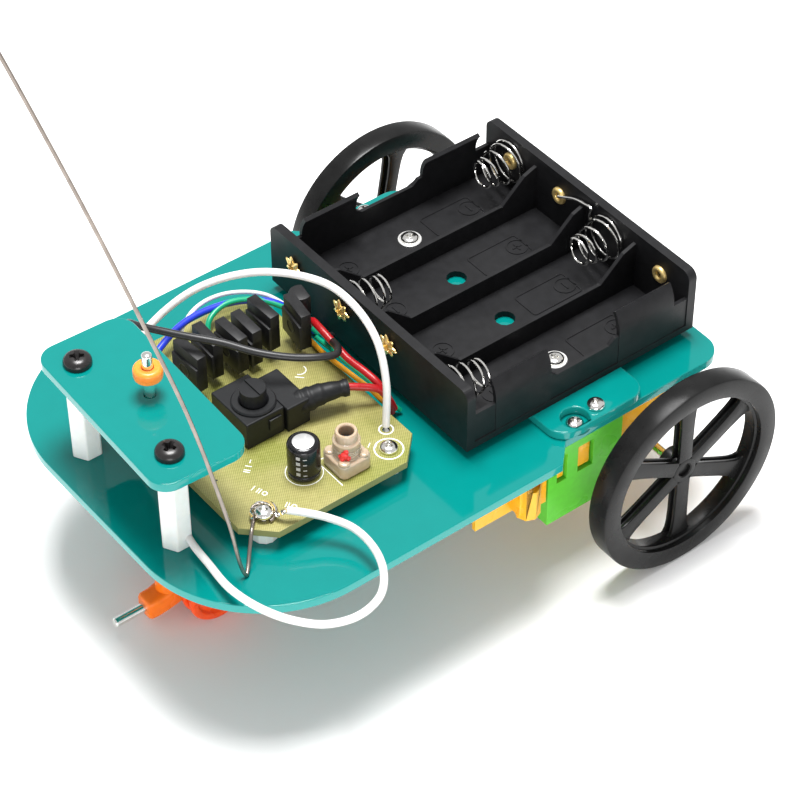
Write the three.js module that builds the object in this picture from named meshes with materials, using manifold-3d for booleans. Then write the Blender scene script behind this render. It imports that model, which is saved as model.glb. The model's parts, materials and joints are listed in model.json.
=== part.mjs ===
// Two wheel robot car: an acrylic chassis with two geared drive wheels, a front caster,
// a four cell battery box and a radio receiver board with a whip antenna.
// Units are millimetres. The front of the car faces -Y, +X is the car's own left and +Z
// is up. Dimensions are measured from the underside of the chassis plate, on the centre
// line, straight above the drive wheel axis. The finished car is then moved back, so that
// the origin lies on the same line under the receiver board.
import * as THREE from 'three';
import { mergeVertices } from 'three/addons/utils/BufferGeometryUtils.js';
import { ConvexGeometry } from 'three/addons/geometries/ConvexGeometry.js';
import Module from 'manifold-3d';

const wasm = await Module();
wasm.setup();

// ---- driving dimensions -------------------------------------------------------------
const ORIGIN_Y = -75;               // where the origin lies, from the drive wheel axis
const PLATE = 2;                    // thickness of every acrylic plate
const GAP = 0.3;                    // running clearance between neighbouring pieces
const CHASSIS = { front: -103.4, rear: 18.6, half: 43.3, waist: 38.8, waistStart: -26.8 };
const NOSE_R = 27;
const TAIL_R = 5;
const FRONT_PLATE = { half: 22, front: -101.4, rear: -81.6, radius: 3.5 };
const BRIDGE = { half: 39.3, front: -24.2, rear: -2, radius: 4 };
const STANDOFF = { x: 15, y: -95.4, height: 20.4, flats: 5.5, studR: 1.45, stud: 3.4 };
const PIVOT_Y = -89.5;              // vertical swivel axis of the caster

const WHEEL = { radius: 22.3, inner: 18.1, outerFace: 51.1, width: 5, hubR: 2.7, spokes: 6 };
const WHEEL_AXIS_Z = -11.7;
const GROUND = WHEEL_AXIS_Z - WHEEL.radius;
const SHAFT_R = 1;                  // every steel shaft is 2 mm thick
const BORE_R = 1.15;

const CASTER = { wheelR: 7, trail: 7.5, half: 2.6, reach: 5.7, heelR: 2.8, neckR: 2.1, gap: 1.1 };
const CASTER_Z = GROUND + CASTER.wheelR;
const ROD_Z = CASTER_Z - 2.3;        // the rod in the nose of the caster arm
const PIN = { bottom: -22.4, top: 34.4 };
const COLLAR = { r: 2.8, height: 2.6, lift: 3.8 };

const BOX = { half: 31.25, front: -40.4, length: 57, height: 14.7, wall: 2, floor: 1.5 };
const BAYS = 4;
const BAY_PITCH = 15.3;
const CELL_R = 7.25;                // an AA cell, the size that the bays are made for

const BOARD = { half: 28.4, front: -87.2, rear: -47, bottom: 5, thickness: 1.6, chamfer: 5.4 };
const BOARD_TOP = BOARD.bottom + BOARD.thickness;

// gear train of one side: motor pinion, crown gear with its spur, output gear
const PRESSURE_ANGLE = Math.PI / 9;
const TOOTH_SHARE = 0.4;            // tooth width as a share of the pitch leaves backlash
const PINION_TEETH = 8;
const CROWN_TEETH = 20;
const CROWN_MODULE = 0.65;
const SPUR_TEETH = 8;
const OUTPUT_TEETH = 22;
const SPUR_MODULE = 0.7;
const CENTRES = ((SPUR_TEETH + OUTPUT_TEETH) * SPUR_MODULE) / 2 + 0.05;
const CROWN_Z = -7.8;
const CROWN_Y = -Math.sqrt(CENTRES ** 2 - (CROWN_Z - WHEEL_AXIS_Z) ** 2);
const OUTPUT_GEAR = { x: 28.6, width: 2.6, hubR: 2.4, hub: 3 };

const MOTOR = { x: 23.6, front: -44, rear: -19, wide: 20, tall: 15, bossR: 2.9, shaftR: 0.9 };
const CASE = { x0: 18.8, x1: 32.8, wall: 1.2, front: -18.6, gearR: 8.7, crownR: 8.1 };
const CRADLE = { x: 34.9, front: -41, bottom: -14.2, lipTop: -15.6, thickness: 1.2 };
const COVER = { x0: 33.1, x1: 38.3, front: -25.8, rear: -7.4, bottom: -19.4, flange: 2.5 };
const CASE_TOP = -0.1;

const M2_HOLE = 1.1;
const M3_HOLE = 1.6;
const COVER_SCREW = { x: 36.5, y: -18.2 };
const BRIDGE_SCREW = { x: 36.5, y: -13 };
const BOARD_SCREW = { x: 23.6, y: -53 };
const ANTENNA_SCREW = { x: 23.6, y: -81.8 };

// ---- materials ----------------------------------------------------------------------
const finish = (color, roughness, metalness = 0) =>
  new THREE.MeshStandardMaterial({ color, roughness, metalness });
const TEAL = finish(0x12a99f, 0.15);
const STEEL = finish(0xb9bcc0, 0.25, 1);
const BLACK_STEEL = finish(0x1c1c1e, 0.35, 0.8);
const NYLON = finish(0xe9eceb, 0.5);
const ORANGE = finish(0xff6a12, 0.4);
const AMBER = finish(0xf0a020, 0.4);
const GREEN = finish(0x58b437, 0.4);
const BLACK = finish(0x222224, 0.5);
const BLACK_SLEEVE = finish(0x1a1a1b, 0.3);
const CAN_SLEEVE = finish(0x17181a, 0.3);
const BOARD_FACE = finish(0xbfb468, 0.6);
const WHITE_WIRE = finish(0xf2f2f0, 0.45);
const RED_WIRE = finish(0xc0241c, 0.4);
const COIL_FORM = finish(0xd9b39a, 0.4);

// ---- solids: three.js makes and moves every shape, manifold-3d joins and cuts -------
function solid(geometry) {
  const plain = geometry.clone();
  plain.deleteAttribute('normal');
  plain.deleteAttribute('uv');
  const merged = mergeVertices(plain, 1e-4);
  return new wasm.Manifold(new wasm.Mesh({
    numProp: 3,
    vertProperties: new Float32Array(merged.attributes.position.array),
    triVerts: new Uint32Array(merged.index.array),
  }));
}

function geometryOf(body) {
  const { vertProperties, triVerts } = body.getMesh();
  const geometry = new THREE.BufferGeometry();
  geometry.setAttribute('position', new THREE.BufferAttribute(vertProperties, 3));
  geometry.setIndex(new THREE.BufferAttribute(triVerts, 1));
  return geometry;
}

function mirrored(body) {
  const geometry = geometryOf(body).scale(-1, 1, 1);
  const index = geometry.index.array;
  for (let i = 0; i < index.length; i += 3) {
    [index[i], index[i + 1]] = [index[i + 1], index[i]];
  }
  return solid(geometry);
}

const turnedAboutX = (body, angle) => solid(geometryOf(body).rotateX(angle));
const join = (...bodies) => bodies.reduce((a, b) => a.add(b));
const cut = (body, ...tools) => tools.reduce((a, b) => a.subtract(b), body);

function box(x0, x1, y0, y1, z0, z1) {
  const block = new THREE.BoxGeometry(x1 - x0, y1 - y0, z1 - z0);
  return solid(block.translate((x0 + x1) / 2, (y0 + y1) / 2, (z0 + z1) / 2));
}

// a cylinder, or a cone ending in rEnd, from a to b along an axis through (u, v)
function rod(axis, u, v, a, b, r, segments = 16, rEnd = r) {
  const bar = new THREE.CylinderGeometry(rEnd, r, b - a, segments);
  if (axis === 'x') bar.rotateZ(-Math.PI / 2).translate((a + b) / 2, u, v);
  if (axis === 'y') bar.translate(u, (a + b) / 2, v);
  if (axis === 'z') bar.rotateX(Math.PI / 2).translate(u, v, (a + b) / 2);
  return solid(bar);
}

const extrusion = (shape, depth, curveSegments) =>
  new THREE.ExtrudeGeometry(shape, { depth, bevelEnabled: false, curveSegments });

// a plate drawn in x and y, from z0 to z1
const slab = (shape, z0, z1, curveSegments = 5) =>
  solid(extrusion(shape, z1 - z0, curveSegments).translate(0, 0, z0));

// a profile drawn in y and z, from x0 to x1
const sideProfile = (shape, x0, x1) => {
  const upright = extrusion(shape, x1 - x0).rotateX(Math.PI / 2).rotateZ(Math.PI / 2);
  return solid(upright.translate(x0, 0, 0));
};

// a profile drawn in x and z, from y0 to y1
const endProfile = (shape, y0, y1, curveSegments = 4) =>
  solid(extrusion(shape, y1 - y0, curveSegments).rotateX(Math.PI / 2).translate(0, y1, 0));

const outline = (points) => new THREE.Shape(points.map(([a, b]) => new THREE.Vector2(a, b)));

function roundedRect(x0, x1, y0, y1, r) {
  const s = new THREE.Shape();
  s.moveTo(x0 + r, y0).lineTo(x1 - r, y0);
  s.absarc(x1 - r, y0 + r, r, -Math.PI / 2, 0).lineTo(x1, y1 - r);
  s.absarc(x1 - r, y1 - r, r, 0, Math.PI / 2).lineTo(x0 + r, y1);
  s.absarc(x0 + r, y1 - r, r, Math.PI / 2, Math.PI).lineTo(x0, y0 + r);
  s.absarc(x0 + r, y0 + r, r, Math.PI, 1.5 * Math.PI);
  return s;
}

// a round wire of radius r through the points
function wire(points, r, steps) {
  const path = new THREE.CatmullRomCurve3(points.map((p) => new THREE.Vector3(...p)));
  const section = new THREE.Shape();
  section.absarc(0, 0, r, 0, 2 * Math.PI);
  const options = { extrudePath: path, steps, curveSegments: 3 };
  return solid(new THREE.ExtrudeGeometry(section, options));
}

// ---- the assembly -------------------------------------------------------------------
const car = new THREE.Group();
const caster = new THREE.Group();
const board = new THREE.Group();
caster.position.set(0, PIVOT_Y, 0);
board.position.set(0, 0, BOARD_TOP);
car.position.set(0, -ORIGIN_Y, 0);
car.add(caster, board);

function add(group, name, body, material, position = [0, 0, 0], turn = 0) {
  const geometry = geometryOf(body);
  geometry.computeVertexNormals();
  const mesh = new THREE.Mesh(geometry, material);
  mesh.name = name;
  mesh.position.set(...position);
  mesh.rotation.z = turn;
  group.add(mesh);
}

// the same piece on both sides, drawn for the left one
function addPair(group, name, body, material, [x, y, z] = [0, 0, 0]) {
  add(group, `left_${name}`, body, material, [x, y, z]);
  add(group, `right_${name}`, mirrored(body), material, [-x, y, z]);
}

// a pan head screw with a driver recess, the underside of its head on height 0
function screw({ headR, headH, shankR, length }) {
  const recess = rod('z', 0, 0, headH * 0.4, headH + 1, headR * 0.2, 4, headR * 0.75);
  return cut(
    join(
      rod('z', 0, 0, 0, headH, headR, 12, headR * 0.72),
      rod('z', 0, 0, -length, headH / 4, shankR, 8),
    ),
    recess,
  );
}
const M2 = { headR: 1.8, headH: 1.2, shankR: 0.95 };
const M3 = { headR: 2.75, headH: 2, shankR: 1.4 };

// ---- plates -------------------------------------------------------------------------
const BOX_HOLE_Y = BOX.front + BOX.length / 2;
const bayX = (i) => (i - (BAYS - 1) / 2) * BAY_PITCH;
const BOX_SCREW_X = bayX(BAYS - 1);

function chassisPlate() {
  const { front, rear, half, waist, waistStart } = CHASSIS;
  const waistEnd = waistStart + half - waist;
  const noseX = half - NOSE_R;
  const tailX = waist - TAIL_R;
  const s = new THREE.Shape();
  s.moveTo(-noseX, front).lineTo(noseX, front);
  s.absarc(noseX, front + NOSE_R, NOSE_R, -Math.PI / 2, 0);
  s.lineTo(half, waistStart).lineTo(waist, waistEnd).lineTo(waist, rear - TAIL_R);
  s.absarc(tailX, rear - TAIL_R, TAIL_R, 0, Math.PI / 2);
  s.lineTo(-tailX, rear);
  s.absarc(-tailX, rear - TAIL_R, TAIL_R, Math.PI / 2, Math.PI);
  s.lineTo(-waist, waistEnd).lineTo(-half, waistStart);
  s.absarc(-noseX, front + NOSE_R, NOSE_R, Math.PI, 1.5 * Math.PI);
  const hole = (x, y, r) => rod('z', x, y, -1, PLATE + 1, r, 8);
  const holes = [hole(0, PIVOT_Y, BORE_R)];
  for (const side of [-1, 1]) {
    holes.push(hole(side * STANDOFF.x, STANDOFF.y, M3_HOLE));
    holes.push(hole(side * COVER_SCREW.x, COVER_SCREW.y, M2_HOLE));
    holes.push(hole(side * BRIDGE_SCREW.x, BRIDGE_SCREW.y, M2_HOLE));
    holes.push(hole(side * BOX_SCREW_X, BOX_HOLE_Y, M2_HOLE));
  }
  for (const { x, y } of [BOARD_SCREW, ANTENNA_SCREW]) holes.push(hole(x, y, M2_HOLE));
  return cut(slab(s, 0, PLATE, 8), ...holes);
}

function bridgePlate() {
  const shape = roundedRect(-BRIDGE.half, BRIDGE.half, BRIDGE.front, BRIDGE.rear, BRIDGE.radius);
  const hole = (x, y, r) => rod('z', x, y, PLATE - 1, 2 * PLATE + 1, r, 12);
  const headClearance = 2.9;
  const holes = [];
  for (const side of [-1, 1]) {
    holes.push(hole(side * COVER_SCREW.x, COVER_SCREW.y, headClearance));
    holes.push(hole(side * BRIDGE_SCREW.x, BRIDGE_SCREW.y, M2_HOLE));
    holes.push(hole(side * BOX_SCREW_X, BOX_HOLE_Y, M2_HOLE));
  }
  return cut(slab(shape, PLATE, 2 * PLATE, 4), ...holes);
}

const FRONT_PLATE_Z = PLATE + STANDOFF.height;
const FRONT_PLATE_TOP = FRONT_PLATE_Z + PLATE;
function frontPlate() {
  const { half, front, rear, radius } = FRONT_PLATE;
  const hole = (x, y, r) => rod('z', x, y, FRONT_PLATE_Z - 1, FRONT_PLATE_TOP + 1, r, 12);
  return cut(
    slab(roundedRect(-half, half, front, rear, radius), FRONT_PLATE_Z, FRONT_PLATE_TOP, 4),
    hole(0, PIVOT_Y, BORE_R),
    hole(STANDOFF.x, STANDOFF.y, M3_HOLE),
    hole(-STANDOFF.x, STANDOFF.y, M3_HOLE),
  );
}

// a hexagonal nylon standoff: a stud through the chassis plate below, a tapped hole above
function standoff() {
  const cornerR = STANDOFF.flats / Math.sqrt(3);
  const { height, stud, studR } = STANDOFF;
  return cut(
    join(rod('z', 0, 0, 0, height, cornerR, 6), rod('z', 0, 0, -stud, 1, studR, 10)),
    rod('z', 0, 0, height - 8, height + 1, 1.55, 10),
  );
}

add(car, 'chassis_plate', chassisPlate(), TEAL);
add(car, 'bridge_plate', bridgePlate(), TEAL);
add(car, 'front_plate', frontPlate(), TEAL);
addPair(car, 'standoff', standoff(), NYLON, [STANDOFF.x, STANDOFF.y, PLATE]);
addPair(car, 'front_plate_screw', screw({ ...M3, length: 7 }), BLACK_STEEL,
  [STANDOFF.x, STANDOFF.y, FRONT_PLATE_TOP]);
addPair(car, 'cover_screw', screw({ ...M2, length: 3.8 }), STEEL,
  [COVER_SCREW.x, COVER_SCREW.y, PLATE]);
addPair(car, 'bridge_screw', screw({ ...M2, length: 5.8 }), STEEL,
  [BRIDGE_SCREW.x, BRIDGE_SCREW.y, 2 * PLATE]);

// ---- caster, drawn around its swivel axis -------------------------------------------
function casterArm() {
  const { trail, half, reach, heelR, neckR } = CASTER;
  const rodHole = 4.2;
  const noseHalf = 2.3;
  const profile = outline([
    [-reach, ROD_Z - noseHalf], [-2, ROD_Z - noseHalf], [trail, CASTER_Z - half],
    [trail, CASTER_Z + half], [-1, CASTER_Z + half], [-reach, ROD_Z + noseHalf],
  ]);
  return cut(
    join(
      sideProfile(profile, -half, half),
      rod('x', trail, CASTER_Z, -half, half, heelR),
      rod('z', 0, 0, CASTER_Z, -GAP, half, 16, neckR),
    ),
    rod('z', 0, 0, PIN.bottom - GAP, 1, BORE_R, 12),
    rod('y', 0, ROD_Z, -reach - 1, rodHole - reach, BORE_R, 12),
    rod('x', trail, CASTER_Z, -half - 1, half + 1, BORE_R, 12),
  );
}

// a two disc wheel with a groove between the discs and a dished outer face
function casterWheel() {
  const x0 = CASTER.half + CASTER.gap;
  const rim = 1.3;
  const x1 = x0 + 4;
  const grooveR = CASTER.wheelR - 1.6;
  const disc = (a, b, r, segments = 24) => rod('x', 0, 0, a, b, r, segments);
  const dish = cut(disc(x1 - 0.8, x1 + 1, grooveR), disc(x1 - 2, x1 + 2, 2.2, 12));
  return cut(
    join(
      disc(x0, x0 + rim, CASTER.wheelR),
      disc(x0 + rim / 2, x1 - rim / 2, grooveR),
      disc(x1 - rim, x1, CASTER.wheelR),
    ),
    dish,
    disc(x0 - 1, x1 + 1, BORE_R, 12),
  );
}

function collar() {
  const z = FRONT_PLATE_TOP + COLLAR.lift;
  return cut(
    rod('z', 0, 0, z, z + COLLAR.height, COLLAR.r, 20),
    rod('z', 0, 0, z - 1, z + COLLAR.height + 1, BORE_R, 12),
  );
}

const axleHalf = 8.4;
const rodFront = -12.5;
add(caster, 'pivot_pin', rod('z', 0, 0, PIN.bottom, PIN.top, SHAFT_R, 12), STEEL);
add(caster, 'pivot_collar', collar(), ORANGE);
add(caster, 'caster_arm', casterArm(), ORANGE);
add(caster, 'arm_rod', rod('y', 0, ROD_Z, rodFront, 4 - CASTER.reach, SHAFT_R, 12), STEEL);
add(caster, 'caster_axle', rod('x', 0, 0, -axleHalf, axleHalf, SHAFT_R, 12), STEEL,
  [0, CASTER.trail, CASTER_Z]);
addPair(caster, 'caster_wheel', casterWheel(), ORANGE, [0, CASTER.trail, CASTER_Z]);

// ---- drive wheels -------------------------------------------------------------------
function driveWheel() {
  const { radius, inner, outerFace, width, hubR, spokes } = WHEEL;
  const x0 = outerFace - width;
  const x1 = outerFace - 0.9;
  const spokeEnd = inner + 0.5;
  const flange = box(x1 - 1, x1, hubR / 2, spokeEnd, -1.6, 1.6);
  const web = box(x0 + 0.6, x1 - 0.5, hubR / 2, spokeEnd, -0.55, 0.55);
  const spoke = join(flange, web);
  let body = join(
    cut(rod('x', 0, 0, x0, outerFace, radius, 48), rod('x', 0, 0, 0, 60, inner, 48)),
    rod('x', 0, 0, x0 - 2, x1, hubR),
  );
  for (let i = 0; i < spokes; i += 1) {
    body = join(body, turnedAboutX(spoke, ((i + 0.5) * 2 * Math.PI) / spokes));
  }
  return cut(body, rod('x', 0, 0, 0, 60, BORE_R, 12));
}

const wheelAxis = [0, 0, WHEEL_AXIS_Z];
const axle = rod('x', 0, 0, CASE.x0 - 0.6, WHEEL.outerFace - 1.6, SHAFT_R, 12);
addPair(car, 'wheel', driveWheel(), BLACK, wheelAxis);
addPair(car, 'axle', axle, STEEL, wheelAxis);

// ---- gears, each drawn around its own axis ------------------------------------------
// an involute spur gear outline with one tooth centred on the angle phase
function gearShape(teeth, module, phase) {
  const pitchR = (teeth * module) / 2;
  const baseR = pitchR * Math.cos(PRESSURE_ANGLE);
  const rootR = pitchR - 1.2 * module;
  const tipR = pitchR + 0.8 * module;
  const involute = (r) => {
    const a = Math.acos(baseR / Math.max(r, baseR));
    return Math.tan(a) - a;
  };
  const halfAt = (r) => (TOOTH_SHARE * Math.PI) / teeth + involute(pitchR) - involute(r);
  const points = [];
  for (let i = 0; i < teeth; i += 1) {
    const centre = phase + (2 * Math.PI * i) / teeth;
    const at = (r, a) => points.push([r * Math.cos(centre + a), r * Math.sin(centre + a)]);
    for (const r of [rootR, pitchR, tipR]) at(r, -halfAt(r));
    for (const r of [tipR, pitchR, rootR]) at(r, halfAt(r));
  }
  return outline(points);
}

const toCrown = Math.atan2(CROWN_Z - WHEEL_AXIS_Z, CROWN_Y);
function outputGear() {
  const { x, width, hubR, hub } = OUTPUT_GEAR;
  return cut(
    join(
      sideProfile(gearShape(OUTPUT_TEETH, SPUR_MODULE, toCrown), x, x + width),
      rod('x', 0, 0, x - hub, x + 1, hubR),
    ),
    rod('x', 0, 0, 0, 60, BORE_R, 12),
  );
}

const CROWN_R = (CROWN_TEETH * CROWN_MODULE) / 2;
const PINION_R = (PINION_TEETH * CROWN_MODULE) / 2;
const CROWN_PITCH_X = MOTOR.x + PINION_R + 0.05;
const CROWN_FACE_X = CROWN_PITCH_X + 1.2 * CROWN_MODULE;
const FACE_TOOTH = { inner: CROWN_R - 0.8, outer: CROWN_R + 0.7, rise: 0.8 * CROWN_MODULE };

// one wedge shaped tooth on the face of the crown gear, at the angle a
function faceTooth(a) {
  const half = (TOOTH_SHARE * Math.PI) / CROWN_TEETH;
  const slope = Math.tan(PRESSURE_ANGLE) / CROWN_R;
  const corners = [];
  for (const r of [FACE_TOOTH.inner, FACE_TOOTH.outer]) {
    for (const x of [CROWN_PITCH_X - FACE_TOOTH.rise, CROWN_FACE_X + 0.2]) {
      const w = half + (x - CROWN_PITCH_X) * slope;
      for (const t of [a - w, a + w]) {
        corners.push(new THREE.Vector3(x, r * Math.cos(t), r * Math.sin(t)));
      }
    }
  }
  return solid(new ConvexGeometry(corners));
}

function crownGear() {
  const discEnd = CROWN_FACE_X + 1.2;
  const spurEnd = OUTPUT_GEAR.x + OUTPUT_GEAR.width;
  const spurPhase = toCrown + Math.PI + Math.PI / SPUR_TEETH;
  let body = join(
    rod('x', 0, 0, CROWN_FACE_X, discEnd, FACE_TOOTH.outer + 0.1, 30),
    sideProfile(gearShape(SPUR_TEETH, SPUR_MODULE, spurPhase), discEnd - 0.1, spurEnd),
    rod('x', 0, 0, CASE.x0 + 0.2, CASE.x1 + 0.2, SHAFT_R, 12),
  );
  for (let i = 0; i < CROWN_TEETH; i += 1) {
    body = join(body, faceTooth(Math.PI + ((i + 0.5) * 2 * Math.PI) / CROWN_TEETH));
  }
  return body;
}

// the pinion on the motor shaft, with one tooth reaching into a gap of the crown gear
function motorPinion() {
  const rear = CROWN_Y - FACE_TOOTH.inner + 0.2;
  const front = rear - 1.8;
  return join(
    endProfile(gearShape(PINION_TEETH, CROWN_MODULE, 0), front, rear),
    rod('y', 0, 0, MOTOR.rear + 0.2, rear - 1, MOTOR.shaftR, 10),
  );
}

addPair(car, 'output_gear', outputGear(), AMBER, wheelAxis);
addPair(car, 'crown_gear', crownGear(), AMBER, [0, CROWN_Y, CROWN_Z]);
addPair(car, 'motor_pinion', motorPinion(), STEEL, [MOTOR.x, 0, CROWN_Z]);

// ---- motor, gear case and cover -----------------------------------------------------
// a flat sided can motor lying along y, its shaft at the rear
function motor() {
  const { front, rear, wide, tall, bossR } = MOTOR;
  const can = rod('y', 0, 0, front + 2, rear, wide / 2, 24);
  const endCap = rod('y', 0, 0, front, front + 3, wide / 2 - 0.8, 24);
  const between = box(-wide, wide, front, rear, -tall / 2, tall / 2);
  return cut(
    join(
      join(can, endCap).intersect(between),
      rod('y', 0, 0, front - 1.4, front + 1, bossR - 0.4, 12),
      rod('y', 0, 0, rear - 1, rear + 1.1, bossR, 12),
    ),
    rod('y', 0, 0, rear - 3, rear + 2, BORE_R, 10),
  );
}

// the gear chamber, its walls grown by the given thickness
function chamber(grow) {
  const a = CASE.x0 + CASE.wall - grow;
  const b = CASE.x1 - CASE.wall + grow;
  const front = CASE.front + CASE.wall - grow;
  return join(
    rod('x', 0, WHEEL_AXIS_Z, a, b, CASE.gearR + grow, 20),
    rod('x', CROWN_Y, CROWN_Z, a, b, CASE.crownR + grow, 20),
    box(a, b, front, 0.4, WHEEL_AXIS_Z - 1.3 - grow, 1),
  );
}

// one moulding: gear chamber, motor cradle in front of it, axle boss and screw ear outside
function gearFrame() {
  const { x0, x1, wall, front } = CASE;
  const cradle = (a, b, y0, y1, z0, z1 = CASE_TOP) => box(a, b, y0, y1, z0, z1);
  const wallX = CRADLE.x - CRADLE.thickness + 0.2;
  const lipBottom = CRADLE.lipTop - CRADLE.thickness;
  const ribFront = COVER.rear + GAP;
  const ribRear = 7;
  const boss = { x: 37.4, r: 3.2 };
  const outside = box(x0 - 1, 60, front, 20, -30, CASE_TOP);
  const brace = sideProfile(outline([
    [ribFront, -1], [ribRear, -1], [ribRear, -6.4], [2.6, WHEEL_AXIS_Z - 1.9],
    [-2.6, WHEEL_AXIS_Z - 1.9], [ribFront, -16],
  ]), x1 - 0.5, boss.x - 0.8);
  const body = join(
    cut(chamber(wall).intersect(outside), chamber(0)),
    cradle(13, CRADLE.x, front, front + wall, lipBottom),
    cradle(wallX, CRADLE.x, CRADLE.front, front + 0.5, CRADLE.bottom),
    cradle(13, 30.6, COVER.front, front + wall, lipBottom, CRADLE.lipTop),
    cradle(wallX, 38.2, -32.8, -26.2, -12.6),
    rod('z', 37.2, -30, -13.8, CASE_TOP, 2.6, 8),
    box(x1 - 0.5, boss.x, ribFront, ribRear, -6.4, CASE_TOP),
    brace,
    rod('x', 0, WHEEL_AXIS_Z, x1 - 0.5, boss.x, boss.r),
  );
  const screwWindow = box(35.9, 40, -31.8, -28.2, -6.5, -2.2);
  return cut(
    body,
    rod('x', 0, WHEEL_AXIS_Z, 0, 60, BORE_R, 12),
    rod('x', CROWN_Y, CROWN_Z, 0, x1 + 1, BORE_R, 12),
    rod('y', MOTOR.x, CROWN_Z, front - 1, front + 2.5, MOTOR.bossR + GAP, 14),
    screwWindow,
  );
}

// the cover hangs from the chassis by its top flange and leaves two windows in its face
function gearCover() {
  const { x0, x1, front, rear, bottom, flange } = COVER;
  const wall = CASE.wall;
  const windowTop = -flange;
  const cradleRoom = box(x0 - 1, CRADLE.x + GAP, front - 1, CASE.front + wall + GAP, -17.2, 1);
  const pilot = ({ x, y }) => rod('z', x, y, -flange - 1, 1, M2_HOLE, 10);
  return cut(
    box(x0, x1, front, rear, bottom, CASE_TOP),
    box(x0 - 1, x1 - wall, front + wall, rear - wall, bottom + wall, -flange),
    box(x1 - 2, x1 + 1, -18.5, -14.6, -9.2, windowTop),
    box(x1 - 2, x1 + 1, -23.7, -21.2, -9.2, windowTop),
    cradleRoom,
    pilot(COVER_SCREW),
    pilot(BRIDGE_SCREW),
  );
}

addPair(car, 'motor', motor(), STEEL, [MOTOR.x, 0, CROWN_Z]);
addPair(car, 'gear_frame', gearFrame(), AMBER);
addPair(car, 'gear_cover', gearCover(), GREEN);

// ---- battery box --------------------------------------------------------------------
const BOX_Z = 2 * PLATE;
const BOX_REAR = BOX.front + BOX.length;
const BOX_TOP = BOX_Z + BOX.height;
const BAY_Z = BOX_Z + BOX.floor;
const CELL_Z = BAY_Z + CELL_R;
const BOX_SCREW_Z = BAY_Z - 0.9;      // the screw heads lie below the cells

function endWallShape() {
  const s = new THREE.Shape();
  const r = 2;
  s.moveTo(-BOX.half, BOX_Z).lineTo(BOX.half, BOX_Z).lineTo(BOX.half, BOX_TOP - r);
  s.absarc(BOX.half - r, BOX_TOP - r, r, 0, Math.PI / 2).lineTo(r - BOX.half, BOX_TOP);
  s.absarc(r - BOX.half, BOX_TOP - r, r, Math.PI / 2, Math.PI);
  return s;
}

const SIDE = { wallOut: BOX.half - 0.2, wall: 0.8, tabOut: BOX.half - 0.1, tab: 0.9 };
const SIDE_Z = BOX_Z + 0.5;
const RIB = 0.8;

// a retaining tab: the side wall thickened, carried up and bent over the cell beside it
function sideTab(y0, y1) {
  const cellX = bayX(BAYS - 1);
  const outerR = SIDE.tabOut - cellX;
  const end = Math.PI / 5;
  const s = new THREE.Shape();
  s.moveTo(SIDE.tabOut, SIDE_Z).lineTo(SIDE.tabOut, CELL_Z);
  s.absarc(cellX, CELL_Z, outerR, 0, end);
  s.absarc(cellX, CELL_Z, outerR - SIDE.tab, end, 0, true);
  s.lineTo(SIDE.tabOut - SIDE.tab, SIDE_Z);
  return endProfile(s, y0, y1, 6);
}

// a rib between two bays, low in the middle and rising to both end walls
function bayRib(x, y0, y1) {
  const middle = (y0 + y1) / 2;
  const low = 10.1;
  const high = 15.1;
  const end = 16.4;
  return sideProfile(outline([
    [y0, SIDE_Z], [y1, SIDE_Z], [y1, end], [middle + 23.4, high],
    [middle + 17.7, low], [middle - 17.7, low], [middle - 23.4, high], [y0, end],
  ]), x - RIB / 2, x + RIB / 2);
}

function sideWall(y0, y1) {
  const middle = (y0 + y1) / 2;
  const high = 12.4;
  const low = 11.2;
  return sideProfile(outline([
    [y0, SIDE_Z], [y1, SIDE_Z], [y1, high], [middle + 8, high], [middle + 6.5, low],
    [middle - 6.5, low], [middle - 8, high], [y0, high],
  ]), SIDE.wallOut - SIDE.wall, SIDE.wallOut);
}

function batteryBox() {
  const y0 = BOX.front + BOX.wall;
  const y1 = BOX_REAR - BOX.wall;
  const bite = 0.5;
  const side = join(
    sideWall(y0 - bite, y1 + bite),
    sideTab(BOX.front + 7, BOX.front + 20.5),
    sideTab(BOX_REAR - 19.5, BOX_REAR - 5.5),
  );
  const ribs = [0.5, 1.5, 2.5].map((i) => bayRib(bayX(i), y0 - bite, y1 + bite));
  const holes = [M2_HOLE, 2.1, 2.1, M2_HOLE].map((r, i) =>
    rod('z', bayX(i), BOX_HOLE_Y, BOX_Z - 1, BAY_Z + 1, r, 12));
  const counterbores = [-BOX_SCREW_X, BOX_SCREW_X].map((x) =>
    rod('z', x, BOX_HOLE_Y, BOX_SCREW_Z, BAY_Z + 1, 2.4, 16));
  const shell = join(
    box(-BOX.half, BOX.half, BOX.front, BOX_REAR, BOX_Z, BAY_Z),
    endProfile(endWallShape(), BOX.front, y0),
    endProfile(endWallShape(), y1, BOX_REAR),
    side,
    mirrored(side),
    ...ribs,
  );
  return cut(shell, ...holes, ...counterbores);
}

// a conical contact spring, drawn from its wall towards +y
function batterySpring() {
  const turns = 3.5;
  const length = 7;
  const steps = 8 * turns;
  const points = [];
  for (let k = 0; k <= steps; k += 1) {
    const t = k / steps;
    const a = 2 * Math.PI * turns * t;
    const r = 4.6 - 1.7 * t;
    points.push([r * Math.cos(a), 0.6 + length * t, r * Math.sin(a)]);
  }
  return wire(points, 0.32, steps);
}

add(car, 'battery_box', batteryBox(), BLACK);
for (let i = 0; i < BAYS; i += 1) {
  const atRear = i % 2 === 0;
  const y = atRear ? BOX_REAR - BOX.wall : BOX.front + BOX.wall;
  add(car, `battery_spring_${i + 1}`, batterySpring(), STEEL,
    [bayX(i), y, CELL_Z], atRear ? Math.PI : 0);
}
addPair(car, 'box_screw', screw({ ...M2, headH: 0.8, length: 4.5 }), STEEL,
  [BOX_SCREW_X, BOX_HOLE_Y, BOX_SCREW_Z]);

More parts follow.
